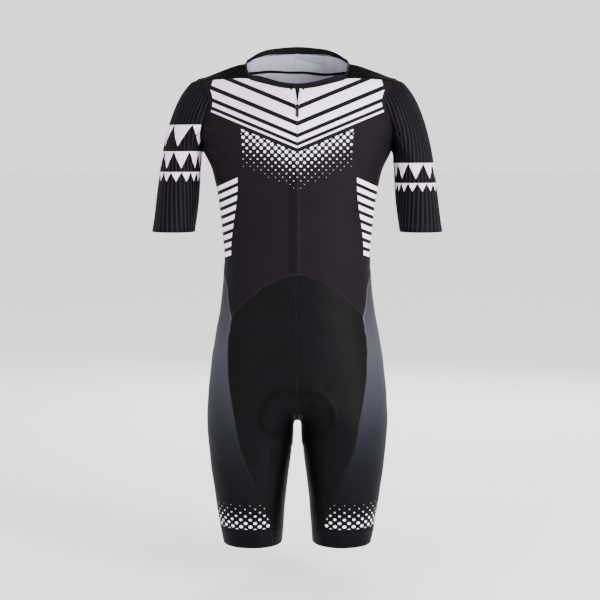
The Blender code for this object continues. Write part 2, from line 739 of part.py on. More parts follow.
def new_object(name, points, faces, finish):
    """Mesh object with its own material, shaded smooth but for its thin edges."""
    mesh = bpy.data.meshes.new(name)
    mesh.from_pydata([tuple(p) for p in points], [], faces)
    mesh.validate()
    material = bpy.data.materials.new(name)
    material.use_nodes = True
    shader = material.node_tree.nodes["Principled BSDF"]
    shader.inputs["Base Color"].default_value = (*finish.colour, 1.0)
    shader.inputs["Roughness"].default_value = finish.roughness
    shader.inputs["Metallic"].default_value = finish.metallic
    mesh.materials.append(material)
    mesh.shade_smooth()
    mesh.set_sharp_from_angle(angle=math.radians(SHARP_EDGE))
    obj = bpy.data.objects.new(name, mesh)
    bpy.context.scene.collection.objects.link(obj)
    return obj


def wall_piece(name, points, normals, faces, finish, wall=WALL):
    """Cloth wall: the given faces outside, the same moved in by the wall's thickness, and the rim."""
    faces = halved(points, faces)
    shift = seam_shift(points, normals, faces)
    used = sorted({v for ids in faces for v in ids})
    number = {v: i for i, v in enumerate(used)}
    outer = [points[v] + shift.get(v, 0.0) for v in used]
    inner = [p - normals[v] * wall for p, v in zip(outer, used)]
    count = len(used)
    solid = [tuple(number[v] for v in ids) for ids in faces]
    solid += [tuple(number[v] + count for v in reversed(ids)) for ids in faces]
    for a, b in open_edges(faces):
        solid.append((number[b], number[a], number[a] + count, number[b] + count))
    return new_object(name, outer + inner, solid, finish)


def build_sleeve(name, rings, arm_normals, side, finish):
    """Sleeve wall: ribs raised on its outer points, a plain inside with fewer columns."""
    count = len(rings[0])
    mirror = np.array([side, 1.0, 1.0])
    grid = np.array([[p * mirror for p in ring] for ring in rings])
    normal = ring_normals(grid, side)
    for c in range(count):
        i, part = divmod(c, RIB_COLUMNS)
        follow = arm_normals[(i + 1) % len(arm_normals)]
        normal[0][c] = arm_normals[i] + (follow - arm_normals[i]) * part / RIB_COLUMNS
    along = np.roll(grid[0], -1, axis=0) - grid[0]
    before = grid[0] - np.roll(grid[0], 1, axis=0)
    inward = np.cross(unit(along) + unit(before), normal[0]) * side
    grid[0] = grid[0] + unit(inward) * SEAM_GAP / 2
    outer, inner = grid.copy(), grid[:, ::RIB_COLUMNS] - normal[:, ::RIB_COLUMNS] * WALL
    outer[1:, 1::2] += normal[1:, 1::2] * RIB_RISE
    points = [p for ring in outer for p in ring] + [p for ring in inner for p in ring]
    base, few = len(rings) * count, count // RIB_COLUMNS
    solid = []
    for k in range(len(rings) - 1):
        for c in range(count):
            d = (c + 1) % count
            solid.append((k * count + c, (k + 1) * count + c, (k + 1) * count + d, k * count + d))
        for c in range(few):
            d = (c + 1) % few
            upper, lower = base + k * few, base + (k + 1) * few
            solid.append((upper + d, lower + d, lower + c, upper + c))
    for k, turn in ((0, 1), (len(rings) - 1, -1)):
        for c in range(few):
            d = (c + 1) % few
            edge = [k * count + (c * RIB_COLUMNS + j) % count for j in range(RIB_COLUMNS + 1)]
            solid += rim_fan(edge, base + k * few + c, base + k * few + d, turn)
    if side < 0:
        solid = [ids[::-1] for ids in solid]
    return new_object(name, points, solid, finish)


def rim_fan(edge, inner_first, inner_last, turn):
    """Rim between a run of outer points and one step of the inner ring, as triangles."""
    middle = len(edge) // 2
    faces = [(edge[i], edge[i + 1], inner_first) for i in range(middle)]
    faces.append((edge[middle], inner_last, inner_first))
    faces += [(edge[i], edge[i + 1], inner_last) for i in range(middle, len(edge) - 1)]
    return [ids if turn > 0 else ids[::-1] for ids in faces]


def ring_normals(grid, side):
    """Outward directions of a tube's points, from its rings and columns."""
    around = np.roll(grid, -1, axis=1) - np.roll(grid, 1, axis=1)
    down = np.empty_like(grid)
    down[1:-1] = grid[2:] - grid[:-2]
    down[0] = grid[1] - grid[0]
    down[-1] = grid[-1] - grid[-2]
    return unit(np.cross(down, around) * side)


def shared_arm_normals(surface, normals, arm, rings, side):
    """Directions on the armhole's edge halfway between the body's cloth and the sleeve's."""
    mirror = np.array([side, 1.0, 1.0])
    grid = np.array([[p * mirror for p in ring] for ring in rings])
    sleeve = ring_normals(grid, side)[0][::RIB_COLUMNS]
    shared = []
    for point, direction in zip(arm, sleeve):
        v = surface.add_point(point * mirror)
        middle = unit(normals[v] + direction)
        cosine = max(float(middle @ direction), SMALLEST_COSINE)
        normals[v] = middle / cosine
        shared.append(normals[v])
    return shared


def grid_wall(name, grid, near, thickness, finish, side=1):
    """Solid behind a grid of (point, direction) rows: from near behind the points, as thick as given."""
    across = len(grid[0])
    outer = [point - direction * near for row in grid for point, direction in row]
    inner = [point - direction * (near + thickness) for row in grid for point, direction in row]
    faces = []
    for k in range(len(grid) - 1):
        for i in range(across - 1):
            corner = k * across + i
            faces.append((corner, corner + across, corner + across + 1, corner + 1))
    count = len(outer)
    solid = faces + [tuple(v + count for v in reversed(ids)) for ids in faces]
    solid += [(b, a, a + count, b + count) for a, b in open_edges(faces)]
    if side < 0:
        solid = [ids[::-1] for ids in solid]
    return new_object(name, outer + inner, solid, finish)


def build_zip_tapes(zip_rows, surface, normals):
    """The zip's two tapes behind the fronts, with a pale lip past the edge in the open notch."""
    for side in (1, -1):
        mirror = np.array([side, 1.0, 1.0])
        grid = []
        for centre, beside in zip_rows:
            edge = zip_edge(centre, beside)
            direction = normals[surface.add_point(edge * mirror)]
            near = edge * mirror - direction * WALL
            far = beside * mirror - normals[surface.add_point(beside * mirror)] * WALL
            start = edge[0] / beside[0]
            lip = max(edge[0] - TAPE_LIP, SEAM_GAP / 2) / beside[0]
            shares = [(share - start) / (1 - start) for share in (lip, start, TAPE_REACH)]
            grid.append([(near + (far - near) * share, direction) for share in shares])
        grid_wall("zip_tape_" + side_name(side), grid, SEAM_GAP, TAPE_WALL, PALE_TAPE, side)


def build_neck_trim(surface, normals, back):
    """Seam tape along the yoke's seam inside the back, and a bare tag above it on the wearer's left."""
    def spot(k, column, toward=None, length=0.0):
        mirror = np.array([1.0 if column >= 0 else -1.0, 1.0, 1.0])
        point = back[k][abs(column)] * mirror
        direction = normals[surface.add_point(point)]
        if toward is None:
            return point, direction
        other = back[toward][abs(column)] * mirror
        share = length / np.linalg.norm(other - point)
        turned = normals[surface.add_point(other)]
        return point + (other - point) * share, direction + (turned - direction) * share

    columns = range(YOKE_TAPE_COLUMNS, -YOKE_TAPE_COLUMNS - 1, -1)
    above = [spot(YOKE_ROW, c, YOKE_ROW + 1, YOKE_TAPE_HALF) for c in columns]
    seam = [spot(YOKE_ROW, c) for c in columns]
    below = [spot(YOKE_ROW, c, YOKE_ROW - 1, YOKE_TAPE_HALF) for c in columns]
    grid_wall("yoke_tape", [above, seam, below], WALL + SEAM_GAP, TRIM_WALL, BLACK_BAND)
    upper = [spot(BACK_ROWS, c) for c in range(LABEL_COLUMNS, -1, -1)]
    lower = [spot(BACK_ROWS - 1, c) for c in range(LABEL_COLUMNS, -1, -1)]
    label = []
    for drops in ([LABEL_MARGIN] * len(LABEL_DROPS), LABEL_DROPS):
        line = [mixed(high, low, drop) for high, low, drop in zip(upper, lower, drops)]
        first, last = (mixed(end, line[1], LABEL_MARGIN) for end in (line[0], line[2]))
        label.append([first, line[1], last])
    grid_wall("neck_label", label, WALL + SEAM_GAP, TRIM_WALL, TAG_CLOTH)


def mixed(first, second, share):
    """Point and direction part of the way from one to another."""
    return tuple(a + (b - a) * share for a, b in zip(first, second))


def build_pad(surface, points, normals):
    """Pad behind the shorts' front and back panels, cut to its arch and thinned to its edge."""
    sheet = bmesh.new()
    direction = sheet.verts.layers.float_vector.new("direction")
    made = {}
    for piece, ids in surface.faces:
        heights = [points[v][2] + ORIGIN_HEIGHT for v in ids]
        if not piece.startswith("short_") or min(heights) < PAD_LOWEST or max(heights) > HIP_ROW + SEAM_GAP:
            continue
        for v in ids:
            if v not in made:
                made[v] = sheet.verts.new(points[v])
                made[v][direction] = normals[v]
        for corners in halved(points, [ids]):
            sheet.faces.new([made[v] for v in corners])
    for cut in PAD_CUTS:
        for side in (1, -1):
            everything = list(sheet.verts) + list(sheet.edges) + list(sheet.faces)
            bmesh.ops.bisect_plane(
                sheet,
                geom=everything,
                dist=PAD_WELD,
                plane_co=(cut.x * side, 0.0, cut.height - ORIGIN_HEIGHT),
                plane_no=(cut.across * side, 0.0, cut.up),
                clear_outer=True,
            )
    bmesh.ops.triangulate(sheet, faces=sheet.faces[:])
    sheet.verts.index_update()
    faces = [tuple(v.index for v in face.verts) for face in sheet.faces]
    rim = {v for edge in open_edges(faces) for v in edge}
    outer, inner = [], []
    for v in sheet.verts:
        point, outward = np.array(v.co), unit(np.array(v[direction]))
        thickness = PAD_EDGE if v.index in rim else PAD_THICKNESS
        outer.append(point - outward * (WALL + PAD_GAP))
        inner.append(point - outward * (WALL + PAD_GAP + thickness))
    sheet.free()
    count = len(outer)
    solid = faces + [tuple(v + count for v in reversed(ids)) for ids in faces]
    solid += [(b, a, a + count, b + count) for a, b in open_edges(faces)]
    new_object("seat_pad", outer + inner, solid, PAD_CLOTH)


def between_outlines(name, first, second, finish):
    """Solid between two copies of one outline, the first on the side that it is wound for."""
    count = len(first)
    solid = [tuple(range(count)), tuple(range(2 * count - 1, count - 1, -1))]
    for i in range(count):
        j = (i + 1) % count
        solid.append((j, i, i + count, j + count))
    return new_object(name, first + second, solid, finish)


def prism(name, outline, width, frame, finish):
    """Outline of (down, out) pairs in the slider's own frame, as wide as given and centred on the zip."""
    first, second = ([frame(half, down, out) for down, out in outline] for half in (-width / 2, width / 2))
    return between_outlines(name, first, second, finish)


def outline_plate(name, outline, low, high, frame, finish):
    """Outline of (across, down) pairs in the slider's frame, between two distances out from the cloth."""
    first, second = ([frame(across, down, out) for across, down in outline] for out in (high, low))
    return between_outlines(name, first, second, finish)


def join_into(body, tool):
    """Fuses a second shape into the body and hides it."""
    fuse = body.modifiers.new("join " + tool.name, "BOOLEAN")
    fuse.operation = "UNION"
    fuse.object = tool
    tool.hide_render = True
    tool.display_type = "WIRE"


def build_slider(zip_rows):
    """Slider at the foot of the notch with its bail, and the pull tab that hangs from the bail."""
    line = [centre for centre, _ in zip_rows]
    k = next(i for i, p in enumerate(line) if p[2] + ORIGIN_HEIGHT < SLIDER_HEIGHT)
    middle = (line[k - 1] + line[k]) / 2
    down = unit(line[k] - line[k - 1])
    outward = np.array([0.0, down[2], -down[1]])

    def frame(across, along, out):
        return middle + np.array([across, 0.0, 0.0]) + down * along + outward * out

    low = SEAM_GAP
    high = low + SLIDER_PLATE
    half, wide = SLIDER_LENGTH / 2, SLIDER_WIDTH / 2
    right = [(wide * across, half * along) for across, along in SLIDER_OUTLINE]
    outline = [(-across, along) for across, along in right[::-1]] + right
    slider = outline_plate("zip_slider", outline, low, high, frame, DARK_METAL)
    neck_end, neck_top = half / 2, low + SLIDER_PLATE / 2
    neck = [(-neck_end, -WALL), (neck_end, -WALL), (neck_end, neck_top), (-neck_end, neck_top)]
    join_into(slider, prism("slider_neck", neck, SLIDER_NECK, frame, DARK_METAL))
    axis_out = high + BAIL_SPACE
    foot = high - SLIDER_PLATE / 2
    turns = [math.pi * i / BAIL_STEPS for i in range(BAIL_STEPS + 1)]
    bail = [(BAIL_OUTER, foot)]
    bail += [(BAIL_OUTER * math.cos(turn), axis_out + BAIL_OUTER * math.sin(turn)) for turn in turns]
    bail += [(-BAIL_OUTER, foot), (-BAIL_INNER, foot)]
    bail += [(-BAIL_INNER * math.cos(turn), axis_out + BAIL_INNER * math.sin(turn)) for turn in turns]
    bail += [(BAIL_INNER, foot)]
    join_into(slider, prism("slider_bail", bail, BAIL_WIDTH, frame, DARK_METAL))
    build_pull(line, k, frame(0.0, 0.0, axis_out))


def build_pull(line, k, axis):
    """Pull tab with its slot round the bail: its cross bar is the hinge and its foot lies on the cloth."""
    left = PULL_LENGTH - np.linalg.norm(line[k] - line[k - 1]) / 2
    step = unit(line[k + 1] - line[k])
    rest = line[k] + step * left
    outward = np.array([0.0, step[2], -step[1]])
    foot = rest + outward * (PULL_CLEARANCE + PULL_THICKNESS / 2)
    down = unit(foot - axis)
    normal = np.array([0.0, down[2], -down[1]])

    def frame(across, along, out):
        return np.array([across, 0.0, 0.0]) + down * along + normal * out

    half, chamfer = PULL_WIDTH / 2, PULL_WIDTH / 5
    right = [(half, -PULL_BAR), (half, PULL_LENGTH - chamfer), (half - chamfer, PULL_LENGTH)]
    outline = right[::-1] + [(-across, along) for across, along in right]
    thick = PULL_THICKNESS / 2
    pull = outline_plate("zip_pull", outline, -thick, thick, frame, DARK_METAL)
    slot_half, slot_end = SLOT_WIDTH / 2, PULL_BAR + SLOT_LENGTH
    slot = [(slot_half, slot_end), (slot_half, PULL_BAR), (-slot_half, PULL_BAR), (-slot_half, slot_end)]
    cutter = outline_plate("pull_slot", slot, -2 * thick, 2 * thick, frame, DARK_METAL)
    cut = pull.modifiers.new("slot", "BOOLEAN")
    cut.operation = "DIFFERENCE"
    cut.object = cutter
    cutter.hide_render = True
    cutter.display_type = "WIRE"
    for obj in (pull, cutter):
        obj.location = axis


def main():
    for obj in list(bpy.data.objects):
        bpy.data.objects.remove(obj)
    surface, edges = build_shell()
    add_collar(surface, edges["neck"])
    normals = surface.normals()
    rings = sleeve_rings(edges["arm"])
    for side in (1, -1):
        shared = shared_arm_normals(surface, normals, edges["arm"], rings, side)
        build_sleeve("sleeve_" + side_name(side), rings, shared, side, RIBBED_KNIT)
    points = np.array(surface.points)
    finishes = {
        "front": BLACK_KNIT,
        "yoke": BLACK_KNIT,
        "back": BLACK_KNIT,
        "collar": BLACK_BAND,
        "side": GREY_KNIT,
        "short": BLACK_LYCRA,
    }
    pieces = {}
    for piece, ids in surface.faces:
        pieces.setdefault(piece, []).append(ids)
    for piece, faces in pieces.items():
        wall_piece(piece, points, normals, faces, finishes[piece.split("_")[0]])
    build_zip_tapes(edges["zip"], surface, normals)
    build_neck_trim(surface, normals, edges["back"])
    build_pad(surface, points, normals)
    build_slider(edges["zip"])


main()
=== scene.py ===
"""Looks of the cycling skinsuit: smooth cloth shells with seams, creases and print, the zip and the studio.

Every cloth piece is grown from its CAD wall: the outer skins are welded, smoothed as one surface through
their own points, creased, and cut apart again at the seams. Metres, +Z up, front towards -Y.
"""

import math
from collections import namedtuple

import bmesh
import bpy
import numpy as np
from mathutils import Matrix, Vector
from mathutils.bvhtree import BVHTree
from mathutils.kdtree import KDTree


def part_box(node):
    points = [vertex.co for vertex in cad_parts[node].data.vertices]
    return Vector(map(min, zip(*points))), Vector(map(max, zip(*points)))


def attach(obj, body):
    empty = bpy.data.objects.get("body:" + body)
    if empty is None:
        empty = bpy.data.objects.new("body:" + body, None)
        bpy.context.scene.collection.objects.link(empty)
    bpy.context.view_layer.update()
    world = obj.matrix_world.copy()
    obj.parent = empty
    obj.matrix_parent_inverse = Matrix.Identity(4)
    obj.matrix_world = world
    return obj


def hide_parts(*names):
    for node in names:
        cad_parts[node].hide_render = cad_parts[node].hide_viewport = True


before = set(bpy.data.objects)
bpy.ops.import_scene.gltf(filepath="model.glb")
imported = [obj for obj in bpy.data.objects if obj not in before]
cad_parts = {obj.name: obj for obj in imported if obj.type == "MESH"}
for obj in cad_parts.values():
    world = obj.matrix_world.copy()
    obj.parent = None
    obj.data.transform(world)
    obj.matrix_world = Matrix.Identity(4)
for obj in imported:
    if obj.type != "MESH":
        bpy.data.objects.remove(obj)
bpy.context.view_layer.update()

SUIT = "suit"
PULL = "pull_tab"
SIDES = ((1, "left"), (-1, "right"))
BODY_NODES = [
    "front_left",
    "front_right",
    "yoke_left",
    "yoke_right",
    "back",
    "side_left",
    "side_right",
    "short_front_left",
    "short_front_right",
    "short_back_left",
    "short_back_right",
]

# Cloth shells
WALL = 0.0012
WELD_POINTS = 0.000002
WELD_SEAMS = 0.0009
SKIN_ANGLE = math.radians(60)
SHARP_EDGE = math.radians(50)
BODY_LEVELS = 3
SLEEVE_LEVELS = 2
PAD_LEVELS = 2
FITTING_ROUNDS = 4
ZIP_CORNER = 0.003

# Heights of the hems, and the bands that are turned up inside them
LEG_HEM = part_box("short_front_left")[0].z
CUFF_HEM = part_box("sleeve_left")[0].z
LEG_BAND = 0.030
CUFF_BAND = 0.014

# Relief, in metres out of the cloth
SEAM_DIP = 0.00042
SEAM_DIP_WIDTH = 0.0015
SEAM_RIDGE = 0.00012
SEAM_RIDGE_AT = 0.0048
SEAM_RIDGE_WIDTH = 0.0020
BAND_RISE = 0.00035
BAND_STEP = 0.0035
PAD_RISE = 0.0013
PAD_NEAR = 0.0032
PAD_FAR = 0.0095
PLACKET_RISE = 0.00045
PLACKET_WIDTH = 0.0110
RIB_RISE = 0.0007
RIB_PITCH = 0.0078
RIB_FADE = 0.008
SOLID_RIB_RISE = 0.0007
UNDULATION = 0.00032
PAD_GROOVE = 0.0014

# Sleeves: the body's open edge outside and above two limits is the armhole. The sleeve's head is moved onto
# it, and that move fades out within a reach. The ribs are counted from the sleeve's outermost line, which is
# measured at some heights from the points near each, and evened out over a few of them.
ARMHOLE_OUT = 0.125
ARMHOLE_LOW = -0.25
HEAD_REACH = 0.022
RELAX_ROUNDS = 12
RELAX_REACH = 0.017
SLEEVE_HEIGHTS = 40
HEIGHT_REACH = 0.006
HEIGHTS_EVENED = 5
SLEEVE_RADIUS = 0.048
SLEEVE_WIDEST = -0.130
CUFF_RADIUS = 0.043
UPPER_ARM_RADIUS = 0.060

# Zip: the cloth's edges all but meet over the chain below the slider, and stand apart above it
ZIP_REACH = 0.009
SLIDER_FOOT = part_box("zip_slider")[0].z
ZIP_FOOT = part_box("short_front_left")[1].z
ZIP_CLOSED = 0.00055
ZIP_PULL_IN = 0.00075
TAPE_WIDTH = 0.0125
TAPE_WALL = 0.0007
TAPE_BEHIND = 0.0016
TAPE_LEAN = 0.16
BINDING_WIDTH = 0.0040
BINDING_WALL = 0.0005
BINDING_GAP = 0.00025
BINDING_SHORT = 0.0045
TOOTH_PITCH = 0.0015
TOOTH_HALF_LENGTH = 0.00085
TOOTH_RADIUS = 0.00045
TOOTH_BEHIND = 0.0011
METAL_BEVEL = 0.00022
METAL_EDGE = math.radians(28)
GUARD_HALF = 0.0120
GUARD_BEHIND = 0.0034
GUARD_WALL = 0.0009
GUARD_ABOVE = 0.0045

# Stitching
STITCH_PITCH = 0.0032
STITCH_HALF = 0.0021
STITCH_RADIUS = 0.00019
STITCH_SIDES = 4
STITCH_RISE = 0.00016
DASH_LENGTH = 0.0021
LEG_ROWS_APART = 0.0045
CUFF_ROWS_APART = 0.0040

# Small moves of the whole surface: neck's edge and shoulders down, and the lower legs out at the sides
NECK_DROP = 0.0065
NECK_DROP_AT = 0.083
NECK_DROP_WIDTH = 0.018
SHOULDER_DROP = 0.0045
LEG_SPREAD = 0.0042

# Where the waist's seams run: the arch's height at the front centre with its slope and bend outwards, and
# the height of the side panel's top edge at some depths, from the arch's end round to the back
ARCH_TOP = -0.4050
ARCH_SLOPE = 0.13
ARCH_BEND = 4.3
ARCH_REACH = 0.030
SIDE_REACH = 0.065
SIDE_SEAM = {
    -0.070: -0.487,
    -0.064: -0.470,
    -0.059: -0.452,
    -0.052: -0.432,
    -0.035: -0.412,
    0.000: -0.402,
    0.035: -0.399,
    0.063: -0.401,
}

# Record of what a kind of cloth piece is cut to, left and right alike
Cut = namedtuple("Cut", "slot width length area")

# Soft creases, each a trough seen from one side between two points (across, height), with a bow sideways.
# Across is x seen from the front or the back, and y seen from a side.
Crease = namedtuple("Crease", "seen across1 height1 across2 height2 bow width depth")
CREASES = [
    ("front", 0.188, -0.118, 0.150, -0.098, 0.003, 0.0050, 0.0012),
    ("front", 0.190, -0.138, 0.142, -0.124, 0.004, 0.0055, 0.0016),
    ("front", 0.186, -0.155, 0.138, -0.152, 0.003, 0.0050, 0.0014),
    ("front", 0.180, -0.170, 0.146, -0.186, -0.003, 0.0060, 0.0012),
    ("front", -0.188, -0.112, -0.154, -0.094, 0.002, 0.0050, 0.0010),
    ("front", -0.190, -0.132, -0.136, -0.116, 0.004, 0.0060, 0.0015),
    ("front", -0.184, -0.158, -0.148, -0.160, -0.003, 0.0050, 0.0013),
    ("front", -0.176, -0.172, -0.140, -0.196, -0.004, 0.0065, 0.0010),
    ("back", 0.186, -0.110, 0.132, -0.092, 0.004, 0.0060, 0.0014),
    ("back", 0.188, -0.134, 0.126, -0.130, 0.003, 0.0065, 0.0017),
    ("back", 0.180, -0.162, 0.118, -0.182, -0.005, 0.0070, 0.0014),
    ("back", -0.186, -0.116, -0.138, -0.098, 0.003, 0.0055, 0.0012),
    ("back", -0.188, -0.140, -0.120, -0.140, 0.004, 0.0070, 0.0016),
    ("back", -0.178, -0.168, -0.124, -0.192, -0.004, 0.0065, 0.0013),
    ("back", -0.118, -0.352, -0.030, -0.372, 0.006, 0.0090, 0.0016),
    ("back", 0.122, -0.346, 0.024, -0.366, 0.006, 0.0085, 0.0015),
    ("back", -0.100, -0.386, 0.012, -0.398, -0.005, 0.0100, 0.0013),
    ("back", 0.112, -0.392, 0.046, -0.404, -0.004, 0.0080, 0.0011),
    ("back", 0.028, -0.668, 0.126, -0.640, -0.010, 0.0085, 0.0020),
    ("back", -0.030, -0.672, -0.118, -0.642, -0.009, 0.0080, 0.0018),
    ("back", 0.030, -0.700, 0.092, -0.688, -0.006, 0.0070, 0.0013),
    ("back", -0.026, -0.704, -0.084, -0.694, -0.005, 0.0070, 0.0012),
    ("front", 0.010, -0.664, 0.060, -0.612, 0.006, 0.0065, 0.0013),
    ("front", 0.016, -0.690, 0.074, -0.664, 0.005, 0.0070, 0.0013),
    ("front", -0.012, -0.660, -0.066, -0.606, 0.006, 0.0070, 0.0014),
    ("front", -0.018, -0.688, -0.066, -0.668, 0.005, 0.0065, 0.0012),
    ("front", 0.024, -0.722, 0.062, -0.716, 0.003, 0.0060, 0.0009),
    ("front", -0.024, -0.718, -0.056, -0.714, 0.003, 0.0060, 0.0008),
    ("front", 0.026, -0.410, 0.080, -0.438, -0.004, 0.0090, 0.0008),
    ("front", -0.020, -0.408, -0.088, -0.444, -0.005, 0.0095, 0.0009),
    ("front", 0.124, -0.330, 0.082, -0.340, 0.004, 0.0100, 0.0008),
    ("front", -0.128, -0.318, -0.078, -0.332, 0.004, 0.0100, 0.0009),
    ("left", -0.060, -0.372, 0.050, -0.352, -0.006, 0.0080, 0.0011),
    ("left", -0.034, -0.402, 0.066, -0.384, 0.005, 0.0085, 0.0009),
    ("right", -0.056, -0.360, 0.054, -0.350, -0.006, 0.0080, 0.0010),
    ("right", -0.040, -0.396, 0.060, -0.372, 0.005, 0.0085, 0.0010),
]
SLEEVE_CREASES = [
    ("front", 0.196, -0.124, 0.190, -0.172, -0.004, 0.0060, 0.0024),
    ("front", 0.206, -0.140, 0.196, -0.196, -0.003, 0.0060, 0.0012),
    ("front", 0.192, -0.182, 0.214, -0.206, 0.003, 0.0060, 0.0011),
    ("front", -0.195, -0.118, -0.190, -0.168, 0.004, 0.0060, 0.0022),
    ("front", -0.208, -0.146, -0.198, -0.190, 0.003, 0.0065, 0.0012),
    ("front", -0.190, -0.186, -0.216, -0.214, -0.003, 0.0060, 0.0010),
    ("back", 0.196, -0.120, 0.189, -0.176, -0.004, 0.0065, 0.0022),
    ("back", 0.208, -0.150, 0.196, -0.200, -0.004, 0.0065, 0.0013),
    ("back", -0.196, -0.126, -0.190, -0.170, 0.004, 0.0065, 0.0020),
    ("back", -0.210, -0.152, -0.198, -0.208, 0.003, 0.0065, 0.0013),
]

# For each side that a crease is seen from: the normals' axis and its sign
FACING = {"front": (1, -1), "back": (1, 1), "left": (0, 1), "right": (0, -1)}


def kind_of(name):
    return name.replace("_left", "").replace("_right", "")


def unit(vectors):
    return vectors / np.maximum(np.linalg.norm(vectors, axis=-1), 1e-12)[..., None]


def smooth(low, high, values):
    """0 below low, 1 above high, and a smooth step between them, in either order."""
    share = np.clip((values - low) / (high - low), 0.0, 1.0)
    return share * share * (3 - 2 * share)


def point_normals(points, faces):
    """Normals at the points of four-sided faces."""
    a, b, c, d = (points[faces[:, i]] for i in range(4))
    area = np.cross(c - a, d - b)
    total = np.zeros_like(points)
    for i in range(4):
        np.add.at(total, faces[:, i], area)
    return unit(total)


def add_object(name, data):
    obj = bpy.data.objects.new(name, data)
    bpy.context.scene.collection.objects.link(obj)
    return obj


def welded(node):
    mesh = bmesh.new()
    mesh.from_mesh(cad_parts[node].data)
    bmesh.ops.remove_doubles(mesh, verts=mesh.verts[:], dist=WELD_POINTS)
    return mesh


def skin_of(node):
    """Points and triangles of a wall's outer side: the largest part of its mesh between sharp edges."""
    mesh = welded(node)
    mesh.faces.ensure_lookup_table()
    mesh.faces.index_update()
    mesh.verts.index_update()
    group = [-1] * len(mesh.faces)
    areas = []
    for seed in mesh.faces:
        if group[seed.index] >= 0:
            continue
        group[seed.index] = len(areas)
        area, todo = 0.0, [seed]
        while todo:
            face = todo.pop()
            area += face.calc_area()
            for edge in face.edges:
                if len(edge.link_faces) != 2 or edge.calc_face_angle() > SKIN_ANGLE:
                    continue
                for other in edge.link_faces:
                    if group[other.index] < 0:
                        group[other.index] = len(areas)
                        todo.append(other)
        areas.append(area)
    largest = int(np.argmax(areas))
    points = np.array([v.co for v in mesh.verts])
    faces = [[v.index for v in face.verts] for face in mesh.faces if group[face.index] == largest]
    mesh.free()
    used = sorted({v for ids in faces for v in ids})
    number = {v: i for i, v in enumerate(used)}
    return points[used], [[number[v] for v in ids] for ids in faces]


def cage_of(nodes, weld):
    """One mesh of the outer skins of several walls, welded at their seams, each face marked with its node."""
    cage = bmesh.new()
    for index, node in enumerate(nodes):
        points, faces = skin_of(node)
        if node.startswith("front_"):
            edge = [i for i, p in enumerate(points) if abs(p[0]) < ZIP_CORNER]
            points[min(edge, key=lambda i: points[i][2])][0] = 0.0
        made = [cage.verts.new(p) for p in points]
        for ids in faces:
            cage.faces.new([made[v] for v in ids]).material_index = index
    bmesh.ops.remove_doubles(cage, verts=cage.verts[:], dist=weld)
    bmesh.ops.join_triangles(
        cage,
        faces=cage.faces[:],
        cmp_materials=True,
        angle_face_threshold=math.pi,
        angle_shape_threshold=math.pi,
    )
    mesh = bpy.data.meshes.new("cage")
    cage.to_mesh(mesh)
    cage.free()
    return mesh


def subdivided(mesh, levels):
    """The mesh after a Subdivision Surface modifier. The first points are the mesh's own."""
    obj = add_object("subdivided", mesh)
    surface = obj.modifiers.new("smooth", "SUBSURF")
    surface.levels = levels
    surface.render_levels = levels
    surface.boundary_smooth = "PRESERVE_CORNERS"
    graph = bpy.context.evaluated_depsgraph_get()
    result = bpy.data.meshes.new_from_object(obj.evaluated_get(graph))
    bpy.data.objects.remove(obj)
    return result


def coordinates(mesh):
    flat = np.empty(len(mesh.vertices) * 3)
    mesh.vertices.foreach_get("co", flat)
    return flat.reshape(-1, 3)


def move_points(mesh, points):
    mesh.vertices.foreach_set("co", points.astype(np.float32).ravel())
    mesh.update()


def smoothed(cage, levels):
    """The cage smoothed so that the surface still passes through its points."""
    target = coordinates(cage)
    control = target.copy()
    for _ in range(FITTING_ROUNDS):
        probe = subdivided(cage, 1)
        control += target - coordinates(probe)[: len(target)]
        bpy.data.meshes.remove(probe)
        move_points(cage, control)
    return subdivided(cage, levels)


class Skin:
    """Arrays of a fine mesh: points, normals, four-sided faces and each face's node."""

    def __init__(self, mesh):
        self.points = coordinates(mesh)
        self.faces = np.empty(len(mesh.loops), int)
        mesh.loops.foreach_get("vertex_index", self.faces)
        self.faces = self.faces.reshape(-1, 4)
        self.nodes = np.empty(len(mesh.polygons), int)
        mesh.polygons.foreach_get("material_index", self.nodes)
        self.update_normals()

    def update_normals(self):
        self.normals = point_normals(self.points, self.faces)

    def edges(self):
        """Each edge once, with its first face and its second, or -1 on an open edge."""
        ends = np.stack([self.faces, np.roll(self.faces, -1, axis=1)], axis=2).reshape(-1, 2)
        owner = np.repeat(np.arange(len(self.faces)), 4)
        keys = np.sort(ends, axis=1)
        order = np.lexsort((keys[:, 1], keys[:, 0]))
        keys, owner = keys[order], owner[order]
        first = np.ones(len(keys), bool)
        first[1:] = np.any(keys[1:] != keys[:-1], axis=1)
        start = np.flatnonzero(first)
        second = np.full(len(start), -1)
        paired = np.diff(np.append(start, len(keys))) > 1
        second[paired] = owner[start[paired] + 1]
        return keys[start], owner[start], second

    def open_edges(self):
        """The edges with one face, and their middles."""
        edges, _, second = self.edges()
        edges = edges[second < 0]
        return edges, self.points[edges].mean(axis=1)

    def raise_by(self, heights):
        self.points += self.normals * heights[:, None]
        self.update_normals()


def nearest(points, others):
    """For each point the nearest of the others, and how far it is."""
    tree = KDTree(len(others))
    for i, p in enumerate(others):
        tree.insert(p, i)
    tree.balance()
    found = [tree.find(p) for p in points]
    return np.array([hit[0] for hit in found]), np.array([hit[2] for hit in found])


def along_edges(points, edges, steps=4):
    """Points spread along each edge, for distances to a line of edges."""
    a, b = points[edges[:, 0]], points[edges[:, 1]]
    return np.concatenate([a + (b - a) * (k / steps) for k in range(steps + 1)])


def seam_relief(distance):
    dip = -SEAM_DIP * np.exp(-((distance / SEAM_DIP_WIDTH) ** 2))
    return dip + SEAM_RIDGE * np.exp(-(((distance - SEAM_RIDGE_AT) / SEAM_RIDGE_WIDTH) ** 2))


